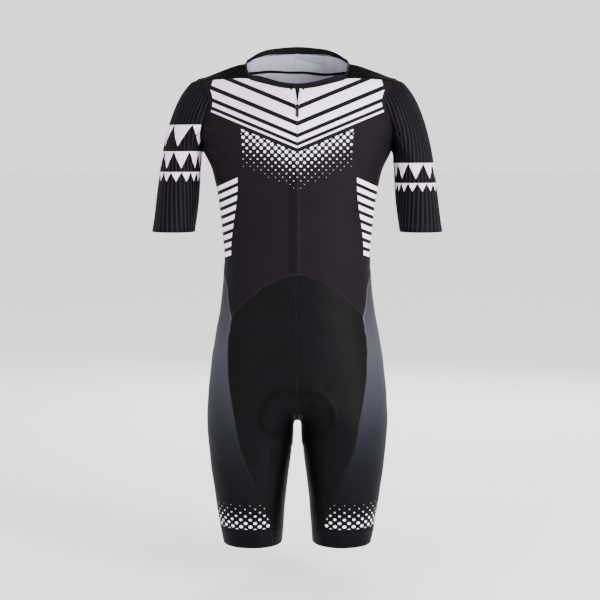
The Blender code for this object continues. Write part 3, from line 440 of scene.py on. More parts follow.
def crease_relief(skin, creases):
    """Troughs with a low lip on either side, tapered towards their ends."""
    total = np.zeros(len(skin.points))
    for crease in map(Crease._make, creases):
        axis, sign = FACING[crease.seen]
        across = skin.points[:, 1 - axis]
        facing = smooth(0.0, 0.5, skin.normals[:, axis] * sign)
        start = np.array([crease.across1, crease.height1])
        run = np.array([crease.across2, crease.height2]) - start
        length = float(np.linalg.norm(run))
        run = run / length
        offset = np.stack([across, skin.points[:, 2]], axis=1) - start
        share = offset @ run / length
        inside = np.clip(share, 0.0, 1.0)
        side = offset @ np.array([-run[1], run[0]]) - crease.bow * (1 - (2 * inside - 1) ** 2)
        beyond = (share - inside) * length
        distance = np.hypot(side, beyond)
        taper = 0.25 + 0.75 * np.sin(math.pi * inside)
        trough = -np.exp(-((distance / crease.width) ** 2))
        lip = 0.35 * np.exp(-(((distance - 2 * crease.width) / crease.width) ** 2))
        total += crease.depth * facing * taper * (trough + lip)
    return total


def ease(points):
    """Lowers the neck's edge and the shoulders a little and spreads the lower legs, as on the worn suit."""
    x, y, z = np.abs(points[:, 0]), points[:, 1], points[:, 2]
    at_neck = np.exp(-(((x - NECK_DROP_AT) / NECK_DROP_WIDTH) ** 2))
    at_neck = at_neck * smooth(0.052, 0.018, y) * smooth(-0.055, -0.025, y)
    at_shoulder = smooth(0.050, 0.090, x) * smooth(0.210, 0.170, x)
    drop = (NECK_DROP * at_neck + SHOULDER_DROP * at_shoulder) * smooth(-0.095, -0.045, z)
    spread = LEG_SPREAD * smooth(-0.700, LEG_HEM, z) * smooth(0.085, 0.135, x)
    points[:, 0] += np.sign(points[:, 0]) * spread
    points[:, 2] -= drop


def seam_points(skin, kinds):
    """Points of the seams between two kinds of piece."""
    edges, first, second = skin.edges()
    inner = second >= 0
    edges, first, second = edges[inner], first[inner], second[inner]
    kind = np.array([kind_of(node) for node in BODY_NODES])
    beside = np.sort(np.stack([kind[skin.nodes[first]], kind[skin.nodes[second]]]), axis=0)
    return skin.points[np.unique(edges[(beside[0] == kinds[0]) & (beside[1] == kinds[1])])]


def slide_seams(skin):
    """Slides the waist's seams along the surface to where they run on the worn suit."""
    surface = BVHTree.FromPolygons([tuple(p) for p in skin.points], skin.faces.tolist())
    x, y, z = np.abs(skin.points[:, 0]), skin.points[:, 1], skin.points[:, 2]
    arch = seam_points(skin, ("front", "short_front"))
    arch = arch[np.argsort(np.abs(arch[:, 0]))]
    now = np.interp(x, np.abs(arch[:, 0]), arch[:, 2])
    goal = ARCH_TOP - ARCH_SLOPE * x - ARCH_BEND * x * x
    move = (goal - now) * np.exp(-(((z - now) / ARCH_REACH) ** 2)) * smooth(-0.045, -0.062, y)
    top = np.concatenate([seam_points(skin, (kind, "side")) for kind in ("front", "back")])
    top = top[np.argsort(top[:, 1])]
    now = np.interp(y, top[:, 1], top[:, 2])
    goal = np.interp(y, list(SIDE_SEAM), list(SIDE_SEAM.values()))
    near = np.exp(-(((z - now) / SIDE_REACH) ** 2)) * smooth(0.100, 0.118, x)
    move += (goal - now) * near * smooth(-0.0705, -0.066, y) * smooth(0.063, 0.050, y)
    for i in np.flatnonzero(np.abs(move) > 0.00002):
        skin.points[i] = surface.find_nearest(skin.points[i] + (0.0, 0.0, move[i]))[0]


def close_zip(points):
    """Moves the fronts' free edges together below the slider."""
    x, z = points[:, 0], points[:, 2]
    share = smooth(0.012, 0.001, np.abs(x)) * smooth(SLIDER_FOOT + 0.004, SLIDER_FOOT - 0.012, z)
    share *= smooth(ZIP_FOOT + 0.004, ZIP_FOOT + 0.020, z)
    moved = np.maximum(np.abs(x) - ZIP_PULL_IN * share, np.minimum(np.abs(x), ZIP_CLOSED))
    points[:, 0] = np.sign(x) * moved


def undulation(points):
    """Slow uneven waves, as in cloth that is taut but not flat."""
    x, y, z = points.T
    waves = np.sin(71 * x + 38 * z + 1.3) * np.sin(49 * z - 27 * y + 0.4)
    waves += 0.6 * np.sin(113 * z + 41 * x - 17 * y) * np.sin(64 * y - 52 * x + 2.1)
    return UNDULATION * waves


def new_piece(name, points, faces, materials, indices=None, attributes=None):
    """Mesh object with materials, shaded smooth but for sharp edges."""
    mesh = bpy.data.meshes.new(name)
    mesh.from_pydata([tuple(p) for p in points], [], [tuple(int(v) for v in ids) for ids in faces])
    for material in materials:
        mesh.materials.append(material)
    if indices is not None:
        mesh.polygons.foreach_set("material_index", np.asarray(indices, np.int32))
    for key, values in (attributes or {}).items():
        layer = mesh.attributes.new(key, "FLOAT", "POINT")
        layer.data.foreach_set("value", np.asarray(values, np.float32))
    mesh.shade_smooth()
    mesh.set_sharp_from_angle(angle=SHARP_EDGE)
    return add_object(name, mesh)


def open_edges(faces):
    """Edges round a group of faces, in the faces' own order."""
    ends = {(int(ids[i - 1]), int(ids[i])) for ids in faces for i in range(len(ids))}
    return [(a, b) for a, b in sorted(ends) if (b, a) not in ends]


def shell(name, points, normals, faces, wall, materials, attributes=None):
    """Closed cloth shell: the faces outside, their copy a wall's thickness behind them, and the rim."""
    used = np.unique(faces)
    number = np.full(len(points), -1)
    number[used] = np.arange(len(used))
    outer = points[used]
    inner = outer - normals[used] * wall
    count = len(used)
    near = number[faces]
    far = near[:, ::-1] + count
    rim = [(b, a, a + count, b + count) for a, b in open_edges(near.tolist())]
    solid = near.tolist() + far.tolist() + rim
    indices = [0] * len(near) + [1] * len(far) + [0] * len(rim)
    doubled = {key: np.tile(values[used], 2) for key, values in (attributes or {}).items()}
    return new_piece(name, np.concatenate([outer, inner]), solid, materials, indices, doubled)


def stand_for(piece, node, body=SUIT):
    """Puts a piece on its body in its node's place."""
    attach(piece, body)
    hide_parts(node)


def dress(piece, node):
    """Makes a cloth piece stand for its node."""
    stand_for(piece, node)


class Graph:
    """Short calls for a material's nodes."""

    def __init__(self, name):
        self.material = bpy.data.materials.new(name)
        self.material.use_nodes = True
        self.tree = self.material.node_tree
        self.shader = self.tree.nodes["Principled BSDF"]

    def node(self, kind):
        return self.tree.nodes.new("ShaderNode" + kind)

    def put(self, value, socket):
        if isinstance(value, bpy.types.NodeSocket):
            self.tree.links.new(value, socket)
        else:
            socket.default_value = value

    def put_colour(self, value, socket):
        self.put(value if isinstance(value, bpy.types.NodeSocket) else (*value, 1.0), socket)

    def math(self, operation, *values):
        node = self.node("Math")
        node.operation = operation
        for value, socket in zip(values, node.inputs):
            self.put(value, socket)
        return node.outputs[0]

    def add(self, a, b):
        return self.math("ADD", a, b)

    def less(self, a, b):
        return self.math("SUBTRACT", a, b)

    def times(self, a, b):
        return self.math("MULTIPLY", a, b)

    def most(self, a, b):
        return self.math("MAXIMUM", a, b)

    def step(self, value, low, high, out_low=0.0, out_high=1.0):
        """Smooth step of a value between two limits, in either order."""
        node = self.node("MapRange")
        node.interpolation_type = "SMOOTHSTEP"
        if isinstance(low, float) and isinstance(high, float) and low > high:
            low, high, out_low, out_high = high, low, out_high, out_low
        for key, entry in zip(range(5), (value, low, high, out_low, out_high)):
            self.put(entry, node.inputs[key])
        return node.outputs[0]

    def within(self, value, low, high, soft=0.0003):
        """1 between two limits, with soft edges."""
        above = self.step(value, low - soft, low + soft)
        below = self.step(value, high + soft, high - soft)
        return self.times(above, below)

    def ramp(self, value, stops):
        node = self.node("ValToRGB")
        ends = node.color_ramp.elements
        for i, (at, colour) in enumerate(stops):
            element = ends[i] if i < 2 else ends.new(at)
            element.position = at
            element.color = (*colour, 1.0)
        self.put(value, node.inputs[0])
        return node.outputs[0]

    def mix(self, share, first, second):
        node = self.node("Mix")
        node.data_type = "RGBA"
        self.put(share, node.inputs[0])
        self.put_colour(first, node.inputs[6])
        self.put_colour(second, node.inputs[7])
        return node.outputs[2]

    def place(self):
        """The object's own x, y and z."""
        node = self.node("TexCoord")
        split = self.node("SeparateXYZ")
        self.tree.links.new(node.outputs["Object"], split.inputs[0])
        self.position = node.outputs["Object"]
        return split.outputs[:]

    def attribute(self, name):
        node = self.node("Attribute")
        node.attribute_name = name
        return node.outputs["Fac"]

    def noise(self, scale, detail=2.0, roughness=0.5):
        node = self.node("TexNoise")
        node.inputs["Scale"].default_value = scale
        node.inputs["Detail"].default_value = detail
        node.inputs["Roughness"].default_value = roughness
        self.put(self.position, node.inputs["Vector"])
        return node.outputs["Fac"]

    def cells(self, scale):
        node = self.node("TexVoronoi")
        node.inputs["Scale"].default_value = scale
        self.put(self.position, node.inputs["Vector"])
        return node.outputs["Distance"]

    def bump(self, height, distance, strength=1.0):
        node = self.node("Bump")
        node.inputs["Strength"].default_value = strength
        node.inputs["Distance"].default_value = distance
        self.put(height, node.inputs["Height"])
        self.put(node.outputs[0], self.shader.inputs["Normal"])

    def finish(self, colour, roughness, sheen=0.0, metallic=0.0, specular=0.5):
        self.put_colour(colour, self.shader.inputs[0])
        self.put(roughness, self.shader.inputs["Roughness"])
        self.shader.inputs["Sheen Weight"].default_value = sheen
        self.shader.inputs["Sheen Roughness"].default_value = SHEEN_ROUGHNESS
        self.shader.inputs["Metallic"].default_value = metallic
        self.shader.inputs["Specular IOR Level"].default_value = specular
        return self.material


SHEEN_ROUGHNESS = 0.4

# Colours
BLACK = (0.0036, 0.0030, 0.0038)
BLACK_WORN = (0.0058, 0.0047, 0.0060)
LYCRA = (0.0013, 0.0012, 0.0014)
LYCRA_WORN = (0.0024, 0.0020, 0.0026)
INSIDE_WORN = (0.0040, 0.0036, 0.0046)
# Painted highlight (seam edges, a line beside the zip) and painted shade (seam grooves, a band beside the
# zip, the shoulders' top)
PAINTED_HIGHLIGHT = (0.0090, 0.0082, 0.0100)
PAINTED_SHADE = (0.0006, 0.0006, 0.0008)
PRINT_WHITE = (0.82, 0.78, 0.86)
PRINT_LAVENDER = (0.66, 0.57, 0.72)

# Chest print: nested V bars, each with its upper edge at the front centre and its thickness
ChestBar = namedtuple("ChestBar", "top thickness")
CHEST_BARS = [
    ChestBar(-0.058, 0.030),
    ChestBar(-0.097, 0.021),
    ChestBar(-0.127, 0.014),
    ChestBar(-0.149, 0.008),
    ChestBar(-0.164, 0.004),
]
CHEST_SLOPE = 0.42
CHEST_OUT = 0.150
CHEST_MARGIN_MM = 8.0
CHEST_DOTS_LOW = -0.245
CHEST_DOTS_TOP = -0.176
CHEST_DOTS_OUT = 0.105
CHEST_DOTS_PITCH = 0.0095

# Slanted bars at the sides, counted downwards, and beside the zip a band of painted shade next to the welt
# and a line of painted highlight
LADDER_PITCH = 0.0165
LADDER_TOP = 10.2
LADDER_LOW = 19.0
LADDER_SLOPE = 0.45
LADDER_SHARE = 0.56
LADDER_BACK = -0.0120
ZIP_SHADE_BAND = (-0.0165, -0.0020)
ZIP_HIGHLIGHT_LINE = (0.0014, 0.0036)

# Hem dots, with their heights above the hem, round a leg's middle; shade on the inner thigh below its top
HEM_DOTS_LOW = 0.038
HEM_DOTS_TOP = 0.092
HEM_DOTS_PITCH = 0.0100
LEG_MIDDLE = 0.086
LEG_RADIUS = 0.0605
THIGH_TOP = -0.659
THIGH_SHADE_SLOPE = 0.157

# Rows of triangles round each sleeve: top height, height of the row and width of a triangle
TriangleRow = namedtuple("TriangleRow", "top tall wide")
TRIANGLES_LEFT = [TriangleRow(-0.196, 0.030, 0.030), TriangleRow(-0.234, 0.016, 0.018)]
TRIANGLES_RIGHT = [
    TriangleRow(-0.124, 0.040, 0.048),
    TriangleRow(-0.174, 0.032, 0.032),
    TriangleRow(-0.213, 0.018, 0.020),
]
TRIANGLES_MARGIN_MM = 6.0

# Inside the neck, seen from the front: the tape's middle height and width, and the tag's corners (x, z)
YOKE_TAPE_HEIGHT = -0.0205
YOKE_TAPE_WIDTH = 0.0050
YOKE_TAPE_REACH = 0.103
TRIM_GAP = 0.0003
LABEL_TOP_LEFT = np.array((-0.0010, 0.0125))
LABEL_TOP_RIGHT = np.array((0.0545, 0.0110))
LABEL_LOW_LEFT = np.array((-0.0010, 0.0090))
LABEL_LOW_RIGHT = np.array((0.0545, -0.0030))


def knit(g, pitch, depth, strength=0.55):
    """Bump of a fine knit: small cells over a soft grain."""
    cells = g.cells(1.0 / pitch)
    g.bump(g.add(g.times(cells, 0.8), g.times(g.noise(1.6 / pitch), 0.5)), depth, strength)


def dotted(g, across, up, pitch, radius):
    """Round dots on a square grid turned by 45 degrees, with a radius that may vary."""
    turned_a = g.times(g.add(across, up), 1 / (pitch * math.sqrt(2)))
    turned_b = g.times(g.less(across, up), 1 / (pitch * math.sqrt(2)))
    near_a = g.less(g.math("FRACT", turned_a), 0.5)
    near_b = g.less(g.math("FRACT", turned_b), 0.5)
    squares = g.add(g.times(near_a, near_a), g.times(near_b, near_b))
    distance = g.times(g.math("SQRT", squares), pitch)
    return g.step(g.less(radius, distance), -0.0003, 0.0003)


def painted_seam_shade_and_highlight(g, colour, lighter=None, share=0.6):
    """Paints shade into the seam's groove and, where the piece lies on top, a painted highlight on its turned
    edge.
    """
    distance = g.attribute("seam")
    if lighter:
        # Painted highlight on the turned edge beside the seam
        edge = g.times(g.step(distance, 0.8, 1.8), g.step(distance, 4.6, 2.8))
        colour = g.mix(g.times(edge, share), colour, lighter)
    # Painted shade in the seam's groove
    return g.mix(g.times(g.step(distance, 1.5, 0.3), 0.75), colour, PAINTED_SHADE)


def front_material():
    """Black knit with the chest's V bars, the dots under them and the slanted bars at the sides."""
    g = Graph("front_knit")
    x, y, z = g.place()
    out = g.math("ABSOLUTE", x)
    level = g.less(z, g.times(out, CHEST_SLOPE))
    bars = 0.0
    for bar in CHEST_BARS:
        bars = g.most(bars, g.within(level, bar.top - bar.thickness, bar.top))
    bars = g.times(bars, g.step(g.add(out, g.times(z, 0.25)), CHEST_OUT, CHEST_OUT - 0.0006))
    beside = g.most(g.step(out, 0.0125, 0.0131), g.step(z, -0.0600, -0.0596))
    margin = g.times(g.step(g.attribute("edge"), CHEST_MARGIN_MM, CHEST_MARGIN_MM - 0.6), beside)
    bars = g.less(bars, g.times(bars, margin))
    fade = g.step(level, CHEST_DOTS_LOW, CHEST_DOTS_TOP + 0.004, 0.0004, 0.0036)
    inside = g.step(out, CHEST_DOTS_OUT, CHEST_DOTS_OUT - 0.0005)
    field = g.times(g.within(level, CHEST_DOTS_LOW, CHEST_DOTS_TOP), inside)
    dots = g.times(dotted(g, x, z, CHEST_DOTS_PITCH, fade), field)
    slant = g.times(g.add(z, g.times(out, LADDER_SLOPE)), 1 / LADDER_PITCH)
    width = g.step(z, -0.365, -0.235, 0.126, 0.112)
    ladder = g.step(g.less(out, width), -0.0003, 0.0003)
    ladder = g.times(ladder, g.step(y, LADDER_BACK, LADDER_BACK - 0.0006))
    ladder = g.times(ladder, g.within(slant, -LADDER_LOW, -LADDER_TOP, 0.01))
    ladder = g.times(ladder, g.within(g.math("FRACT", slant), 0.0, LADDER_SHARE, 0.015))
    shown = g.most(g.most(bars, dots), ladder)
    tone = g.add(g.times(g.noise(9.0), 0.3), g.step(g.less(z, g.times(x, 0.8)), -0.20, 0.02))
    ink = g.ramp(tone, [(0.25, PRINT_WHITE), (0.95, PRINT_LAVENDER)])
    cloth = g.mix(g.noise(14.0), BLACK, BLACK_WORN)
    # Painted shade in a band on the -X side of the zip, and a painted highlight line on its +X side
    cloth = g.mix(g.times(g.within(x, *ZIP_SHADE_BAND, 0.0015), 0.45), cloth, PAINTED_SHADE)
    cloth = g.mix(g.times(g.within(x, *ZIP_HIGHLIGHT_LINE, 0.0006), 0.75), cloth, PAINTED_HIGHLIGHT)
    cloth = painted_seam_shade_and_highlight(g, cloth, PAINTED_HIGHLIGHT)
    knit(g, 0.0011, 0.00025)
    return g.finish(g.mix(shown, cloth, ink), 0.66, specular=0.05)


def back_material():
    """The same knit, bare, on the back and the yoke, with painted shade near the top where the shoulders
    catch the light.
    """
    g = Graph("back_knit")
    _, _, z = g.place()
    cloth = g.mix(g.noise(14.0), BLACK, BLACK_WORN)
    # Painted shade over the shoulders: the top darkened because it catches more light from above
    cloth = g.mix(g.times(g.step(z, -0.080, -0.040), 0.75), cloth, PAINTED_SHADE)
    cloth = painted_seam_shade_and_highlight(g, cloth)
    knit(g, 0.0011, 0.00025)
    return g.finish(cloth, 0.75, specular=0.02)


def side_material():
    """Grey knit that fades from the hip to black at the hem, its brightest band below the hip partly a
    painted highlight, with dots above the hem.
    """
    g = Graph("side_knit")
    x, y, z = g.place()
    linear = g.math("DIVIDE", g.less(z, LEG_HEM), -0.440 - LEG_HEM)
    # The grey print's fade; its peak near a height of -0.55 m is partly a painted highlight
    grey = g.ramp(linear, [
        (0.00, (0.0016, 0.0015, 0.0022)),
        (1.00, (0.0280, 0.0280, 0.0340)),
        (0.16, (0.0022, 0.0021, 0.0034)),
        (0.32, (0.0046, 0.0044, 0.0068)),
        (0.46, (0.0120, 0.0114, 0.0160)),
        (0.62, (0.0310, 0.0298, 0.0400)),
        (0.78, (0.0470, 0.0455, 0.0590)),
        (0.90, (0.0380, 0.0370, 0.0470)),
    ])
    grain = g.mix(g.times(g.noise(420.0, 3.0), 0.35), grey, (0.0, 0.0, 0.0))
    # Painted highlight on the seams' turned edges, strongest near the hip
    cloth = painted_seam_shade_and_highlight(g, grain, (0.105, 0.102, 0.120), g.step(z, -0.560, -0.480, 0.0, 0.40))
    shown = hem_dots(g, x, y, z)
    knit(g, 0.0012, 0.00025, 0.6)
    return g.finish(g.mix(shown, cloth, PRINT_WHITE), 0.62, specular=0.05)


def hem_dots(g, x, y, z):
    """Rows of dots above the leg hem that fade out upwards."""
    up = g.less(z, LEG_HEM)
    fade = g.step(up, HEM_DOTS_TOP, HEM_DOTS_LOW + 0.002, 0.0003, 0.0030)
    angle = g.math("ARCTAN2", y, g.less(g.math("ABSOLUTE", x), LEG_MIDDLE))
    around = g.times(angle, LEG_RADIUS)
    return g.times(dotted(g, around, z, HEM_DOTS_PITCH, fade), g.within(up, HEM_DOTS_LOW, HEM_DOTS_TOP))


def lycra_material():
    """Black shiny knit of the shorts, duller over the pad, with painted shade on the inner thighs."""
    g = Graph("shorts_lycra")
    x, _, z = g.place()
    cloth = g.mix(g.noise(11.0), LYCRA, LYCRA_WORN)
    # Painted shade on the inner thighs, stronger on the -X leg, joined with the pad's duller tone
    reach = g.less(g.math("ABSOLUTE", x), g.times(g.less(THIGH_TOP, z), THIGH_SHADE_SLOPE))
    inner = g.times(g.step(z, THIGH_TOP + 0.004, THIGH_TOP - 0.030), g.step(reach, 0.022, 0.008))
    dark = g.most(g.times(g.attribute("pad"), 0.6), g.times(inner, g.step(x, 0.002, -0.002, 0.45, 1.0)))
    cloth = g.mix(dark, cloth, (0.0002, 0.0002, 0.0002))
    cloth = painted_seam_shade_and_highlight(g, cloth)
    knit(g, 0.0008, 0.00018, 0.5)
    return g.finish(cloth, 0.55, specular=0.05)


def sleeve_material(name, rows):
    """Ribbed knit with a lighter line on each rib and generic rows of triangles round the sleeve."""
    g = Graph("sleeve_knit_" + name)
    _, _, z = g.place()
    around = g.attribute("around")
    crest = g.math("PINGPONG", g.times(around, 2 / RIB_PITCH), 1.0)
    line = g.times(g.step(crest, 0.50, 0.20), g.add(g.times(g.noise(16.0, 3.0), 0.5), 0.5))
    cloth = g.mix(line, (0.0008, 0.0007, 0.0016), (0.0115, 0.0100, 0.0140))
    shown = 0.0
    for row in rows:
        saw = g.math("PINGPONG", g.times(around, 2 / row.wide), 1.0)
        down = g.times(g.less(row.top, z), 1 / row.tall)
        drawn = g.times(g.step(g.less(saw, down), -0.02, 0.02), g.within(z, row.top - row.tall, row.top))
        shown = g.most(shown, drawn)
    shown = g.times(shown, g.step(g.attribute("seam"), TRIANGLES_MARGIN_MM, TRIANGLES_MARGIN_MM + 0.6))
    ink = g.mix(g.times(line, 0.6), PRINT_LAVENDER, PRINT_WHITE)
    cloth = painted_seam_shade_and_highlight(g, cloth)
    knit(g, 0.0010, 0.00022, 0.5)
    return g.finish(g.mix(shown, cloth, ink), 0.66, specular=0.05)


def plain_cloth(name, colour, darker, pitch, roughness=0.66, sheen=0.02, bound=False):
    """Plain cloth in one colour with a soft variation; where it is bound, black round the armholes."""
    g = Graph(name)
    x, _, _ = g.place()
    cloth = g.mix(g.noise(18.0, 4.0), colour, darker)
    if bound:
        near = g.times(g.step(g.attribute("edge"), 5.0, 4.0), g.step(g.math("ABSOLUTE", x), 0.112, 0.118))
        cloth = g.mix(near, cloth, BLACK)
    knit(g, pitch, 0.25 * pitch, 0.6)
    return g.finish(cloth, roughness, sheen=sheen, specular=0.1)


def metal_material():
    """Dark lacquered zip metal, worn lighter in places."""
    g = Graph("zip_metal")
    g.place()
    worn = g.step(g.noise(420.0, 4.0, 0.7), 0.62, 0.78)
    g.bump(g.noise(900.0), 0.00006, 0.4)
    return g.finish(g.mix(worn, (0.022, 0.022, 0.025), (0.10, 0.10, 0.11)), 0.32, metallic=0.85)


def main_materials():
    return {
        "front": front_material(),
        "back": back_material(),
        "side": side_material(),
        "short": lycra_material(),
        "inside": plain_cloth(
            "inside_upper", (0.40, 0.385, 0.46), (0.35, 0.335, 0.41), 0.0011, sheen=0.05, bound=True
        ),
        "inside_dark": plain_cloth("inside_shorts", (0.0060, 0.0055, 0.0070), INSIDE_WORN, 0.0009),
        "band": plain_cloth("band_cloth", (0.0022, 0.0020, 0.0026), (0.0014, 0.0013, 0.0017), 0.0012),
        "tape": plain_cloth("pale_tape_cloth", (0.66, 0.62, 0.72), (0.58, 0.54, 0.64), 0.0009),
        "tag": plain_cloth("tag_cloth", (0.27, 0.26, 0.34), (0.24, 0.23, 0.30), 0.0006),
        "pad": plain_cloth("pad_cloth", (0.040, 0.040, 0.050), (0.030, 0.030, 0.038), 0.0014, 0.8, 0.3),
        "thread": plain_cloth("thread", (0.0068, 0.0062, 0.0076), INSIDE_WORN, 0.0004, 0.55, 0.2),
        "metal": metal_material(),
        "coil": plain_cloth(
            "zip_coil", (0.0050, 0.0048, 0.0056), (0.0030, 0.0030, 0.0036), 0.0005, 0.42, 0.0
        ),
    }


def build_body(materials):
    """The sewn body: one smooth surface, relief and creases, then a shell for each piece."""
    skin = Skin(smoothed(cage_of(BODY_NODES, WELD_SEAMS), BODY_LEVELS))
    is_front = np.zeros(len(skin.points), bool)
    for index, node in enumerate(BODY_NODES):
        if node.startswith("front_"):
            is_front[skin.faces[skin.nodes == index]] = True
    slide_seams(skin)
    ease(skin.points)
    closed = skin.points[is_front]
    close_zip(closed)
    skin.points[is_front] = closed
    skin.update_normals()
    edges, first, second = skin.edges()
    sewn = (second >= 0) & (skin.nodes[first] != skin.nodes[second])
    opened = second < 0
    _, distance = nearest(skin.points, along_edges(skin.points, edges[sewn]))
    z = skin.points[:, 2]
    x = np.abs(skin.points[:, 0])
    relief = seam_relief(distance) + crease_relief(skin, CREASES) + undulation(skin.points)
    relief += BAND_RISE * smooth(LEG_HEM + LEG_BAND + BAND_STEP, LEG_HEM + LEG_BAND, z)
    pad_points, pad_faces = skin_of("seat_pad")
    pad = BVHTree.FromPolygons([tuple(p) for p in pad_points], pad_faces)
    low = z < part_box("seat_pad")[1].z + PAD_FAR
    pad_distance = np.full(len(z), 1.0)
    pad_distance[low] = [pad.find_nearest(p)[3] for p in skin.points[low]]
    pressed = smooth(PAD_FAR, PAD_NEAR, pad_distance)
    relief += PAD_RISE * pressed
    placket = smooth(PLACKET_WIDTH + 0.002, PLACKET_WIDTH - 0.002, x)
    relief += PLACKET_RISE * placket * is_front
    skin.raise_by(relief)
    _, hem = nearest(skin.points, along_edges(skin.points, edges[opened]))
    attributes = {"seam": distance * 1000, "edge": hem * 1000, "pad": pressed}
    for index, node in enumerate(BODY_NODES):
        kind = node.split("_")[0]
        shown = [
            materials["back" if kind == "yoke" else kind],
            materials["inside_dark" if kind in ("side", "short") else "inside"],
        ]
        faces = skin.faces[skin.nodes == index]
        piece = shell("cloth_" + node, skin.points, skin.normals, faces, WALL, shown, attributes)
        dress(piece, node)
    return skin, edges, sewn


def armhole_edges(body, side):
    """The open edges of the body where one sleeve is sewn in."""
    edges, middle = body.open_edges()
    return edges[(middle[:, 0] * side > ARMHOLE_OUT) & (middle[:, 2] > ARMHOLE_LOW)]


def build_collar(materials):
    skin = Skin(smoothed(cage_of(["collar"], WELD_POINTS), BODY_LEVELS))
    ease(skin.points)
    skin.update_normals()
    piece = shell("cloth_collar", skin.points, skin.normals, skin.faces, WALL, [materials["band"]] * 2)
    dress(piece, "collar")


def flatten_ribs(cage):
    """Lowers the solid's own ribs, every other column of points, so that finer ones can be raised."""
    mesh = bmesh.new()
    mesh.from_mesh(cage)
    mesh.normal_update()
    mesh.verts.ensure_lookup_table()
    hem = [(e.verts[0].index, e.verts[1].index) for e in mesh.edges if e.is_boundary]
    cuff = min(chains(np.array(hem)), key=lambda run: sum(mesh.verts[i].co.z for i in run) / len(run))[:-1]
    column = {v: k for k, v in enumerate(cuff)}
    ring = list(cuff)
    while ring:
        above = []
        for i in ring:
            for edge in mesh.verts[i].link_edges:
                other = edge.other_vert(mesh.verts[i]).index
                if other not in column:
                    column[other] = column[i]
                    above.append(other)
        ring = above
    bulge = [0.0, 0.0]
    for v in mesh.verts:
        middle = sum((e.other_vert(v).co for e in v.link_edges), Vector()) / len(v.link_edges)
        bulge[column[v.index] % 2] += (v.co - middle).dot(v.normal)
    raised = int(bulge[1] > bulge[0])
    points = coordinates(cage)
    for v in mesh.verts:
        if column[v.index] % 2 == raised and not v.is_boundary:
            points[v.index] -= np.array(v.normal) * SOLID_RIB_RISE
    mesh.free()
    return points


def relax(cage, points, loose):
    """Spreads the loose points evenly between their neighbours, so that no face near them is folded."""
    ends = np.array([edge.vertices[:] for edge in cage.edges])
    both = np.concatenate([ends, ends[:, ::-1]])
    number = np.bincount(both[:, 0], minlength=len(points))[:, None]
    for _ in range(RELAX_ROUNDS):
        total = np.zeros_like(points)
        np.add.at(total, both[:, 0], points[both[:, 1]])
        points[loose] = (total / number)[loose]


def round_sleeve(points, side):
    """How far round the sleeve each point lies, in metres from the line that runs down its outside."""
    x, y, z = points[:, 0] * side, points[:, 1], points[:, 2]
    levels = np.linspace(CUFF_HEM, z.max(), SLEEVE_HEIGHTS)
    outline = np.array([x[np.abs(z - level) < HEIGHT_REACH].max() for level in levels])
    evening = np.ones(HEIGHTS_EVENED) / HEIGHTS_EVENED
    outline = np.convolve(np.pad(outline, HEIGHTS_EVENED // 2, mode="edge"), evening, mode="valid")
    angle = np.arctan2(y, x - np.interp(z, levels, outline) + SLEEVE_RADIUS)
    return angle * np.interp(z, [CUFF_HEM, SLEEVE_WIDEST], [CUFF_RADIUS, UPPER_ARM_RADIUS])


def build_sleeve(side, name, body, materials):
    """Ribbed sleeve, its head moved onto the armhole's smooth edge."""
    node = "sleeve_" + name
    cage = cage_of([node], WELD_POINTS)
    points = flatten_ribs(cage)
    ease(points)
    edge = along_edges(body.points, armhole_edges(body, side))
    faces = [list(polygon.vertices) for polygon in cage.polygons]
    head = sorted({v for ends in open_edges(faces) for v in ends if points[v][2] > ARMHOLE_LOW})
    apart = np.linalg.norm(points[:, None] - points[head][None], axis=2)
    shift = nearest(points[head], edge)[0] - points[head]
    reach = apart.min(axis=1)
    points += shift[apart.argmin(axis=1)] * smooth(HEAD_REACH, 0.0, reach)[:, None]
    relax(cage, points, (reach < RELAX_REACH) & (reach > 0))
    move_points(cage, points)
    skin = Skin(smoothed(cage, SLEEVE_LEVELS))
    around = round_sleeve(skin.points, side)
    _, distance = nearest(skin.points, edge)
    z = skin.points[:, 2]
    relief = 0.5 * RIB_RISE * np.cos(around * 2 * math.pi / RIB_PITCH) * smooth(0.0, RIB_FADE, distance)
    relief += seam_relief(distance) + crease_relief(skin, SLEEVE_CREASES)
    relief += BAND_RISE * smooth(CUFF_HEM + CUFF_BAND + BAND_STEP, CUFF_HEM + CUFF_BAND, z)
    skin.raise_by(relief)
    attributes = {"seam": distance * 1000, "around": around}
    rows = TRIANGLES_LEFT if side > 0 else TRIANGLES_RIGHT
    shown = [sleeve_material(name, rows), materials["inside_dark"]]
    piece = shell("cloth_" + node, skin.points, skin.normals, skin.faces, WALL, shown, attributes)
    dress(piece, node)
    return skin


def chains(edges):
    """Runs of points through a set of edges, each from end to end or once round."""
    beside = {}
    for a, b in edges.tolist():
        beside.setdefault(a, []).append(b)
        beside.setdefault(b, []).append(a)
    left = {frozenset(edge) for edge in edges.tolist()}
    starts = [v for v in sorted(beside) if len(beside[v]) != 2] + sorted(beside)
    runs = []
    for start in starts:
        while True:
            run = [start]
            while True:
                onward = [v for v in beside[run[-1]] if frozenset((run[-1], v)) in left]
                if not onward:
                    break
                left.discard(frozenset((run[-1], onward[0])))
                run.append(onward[0])
                if len(beside[run[-1]]) != 2:
                    break
            if len(run) < 2:
                break
            runs.append(run)
    return runs


def resampled(line, pitch):
    """Points at an even pitch along a line of points, its ends included."""
    line = np.asarray(line, float)
    lengths = np.concatenate([[0.0], np.cumsum(np.linalg.norm(np.diff(line, axis=0), axis=1))])
    count = max(2, int(round(lengths[-1] / pitch)) + 1)
    at = np.linspace(0.0, lengths[-1], count)
    return np.stack([np.interp(at, lengths, line[:, i]) for i in range(3)], axis=1)


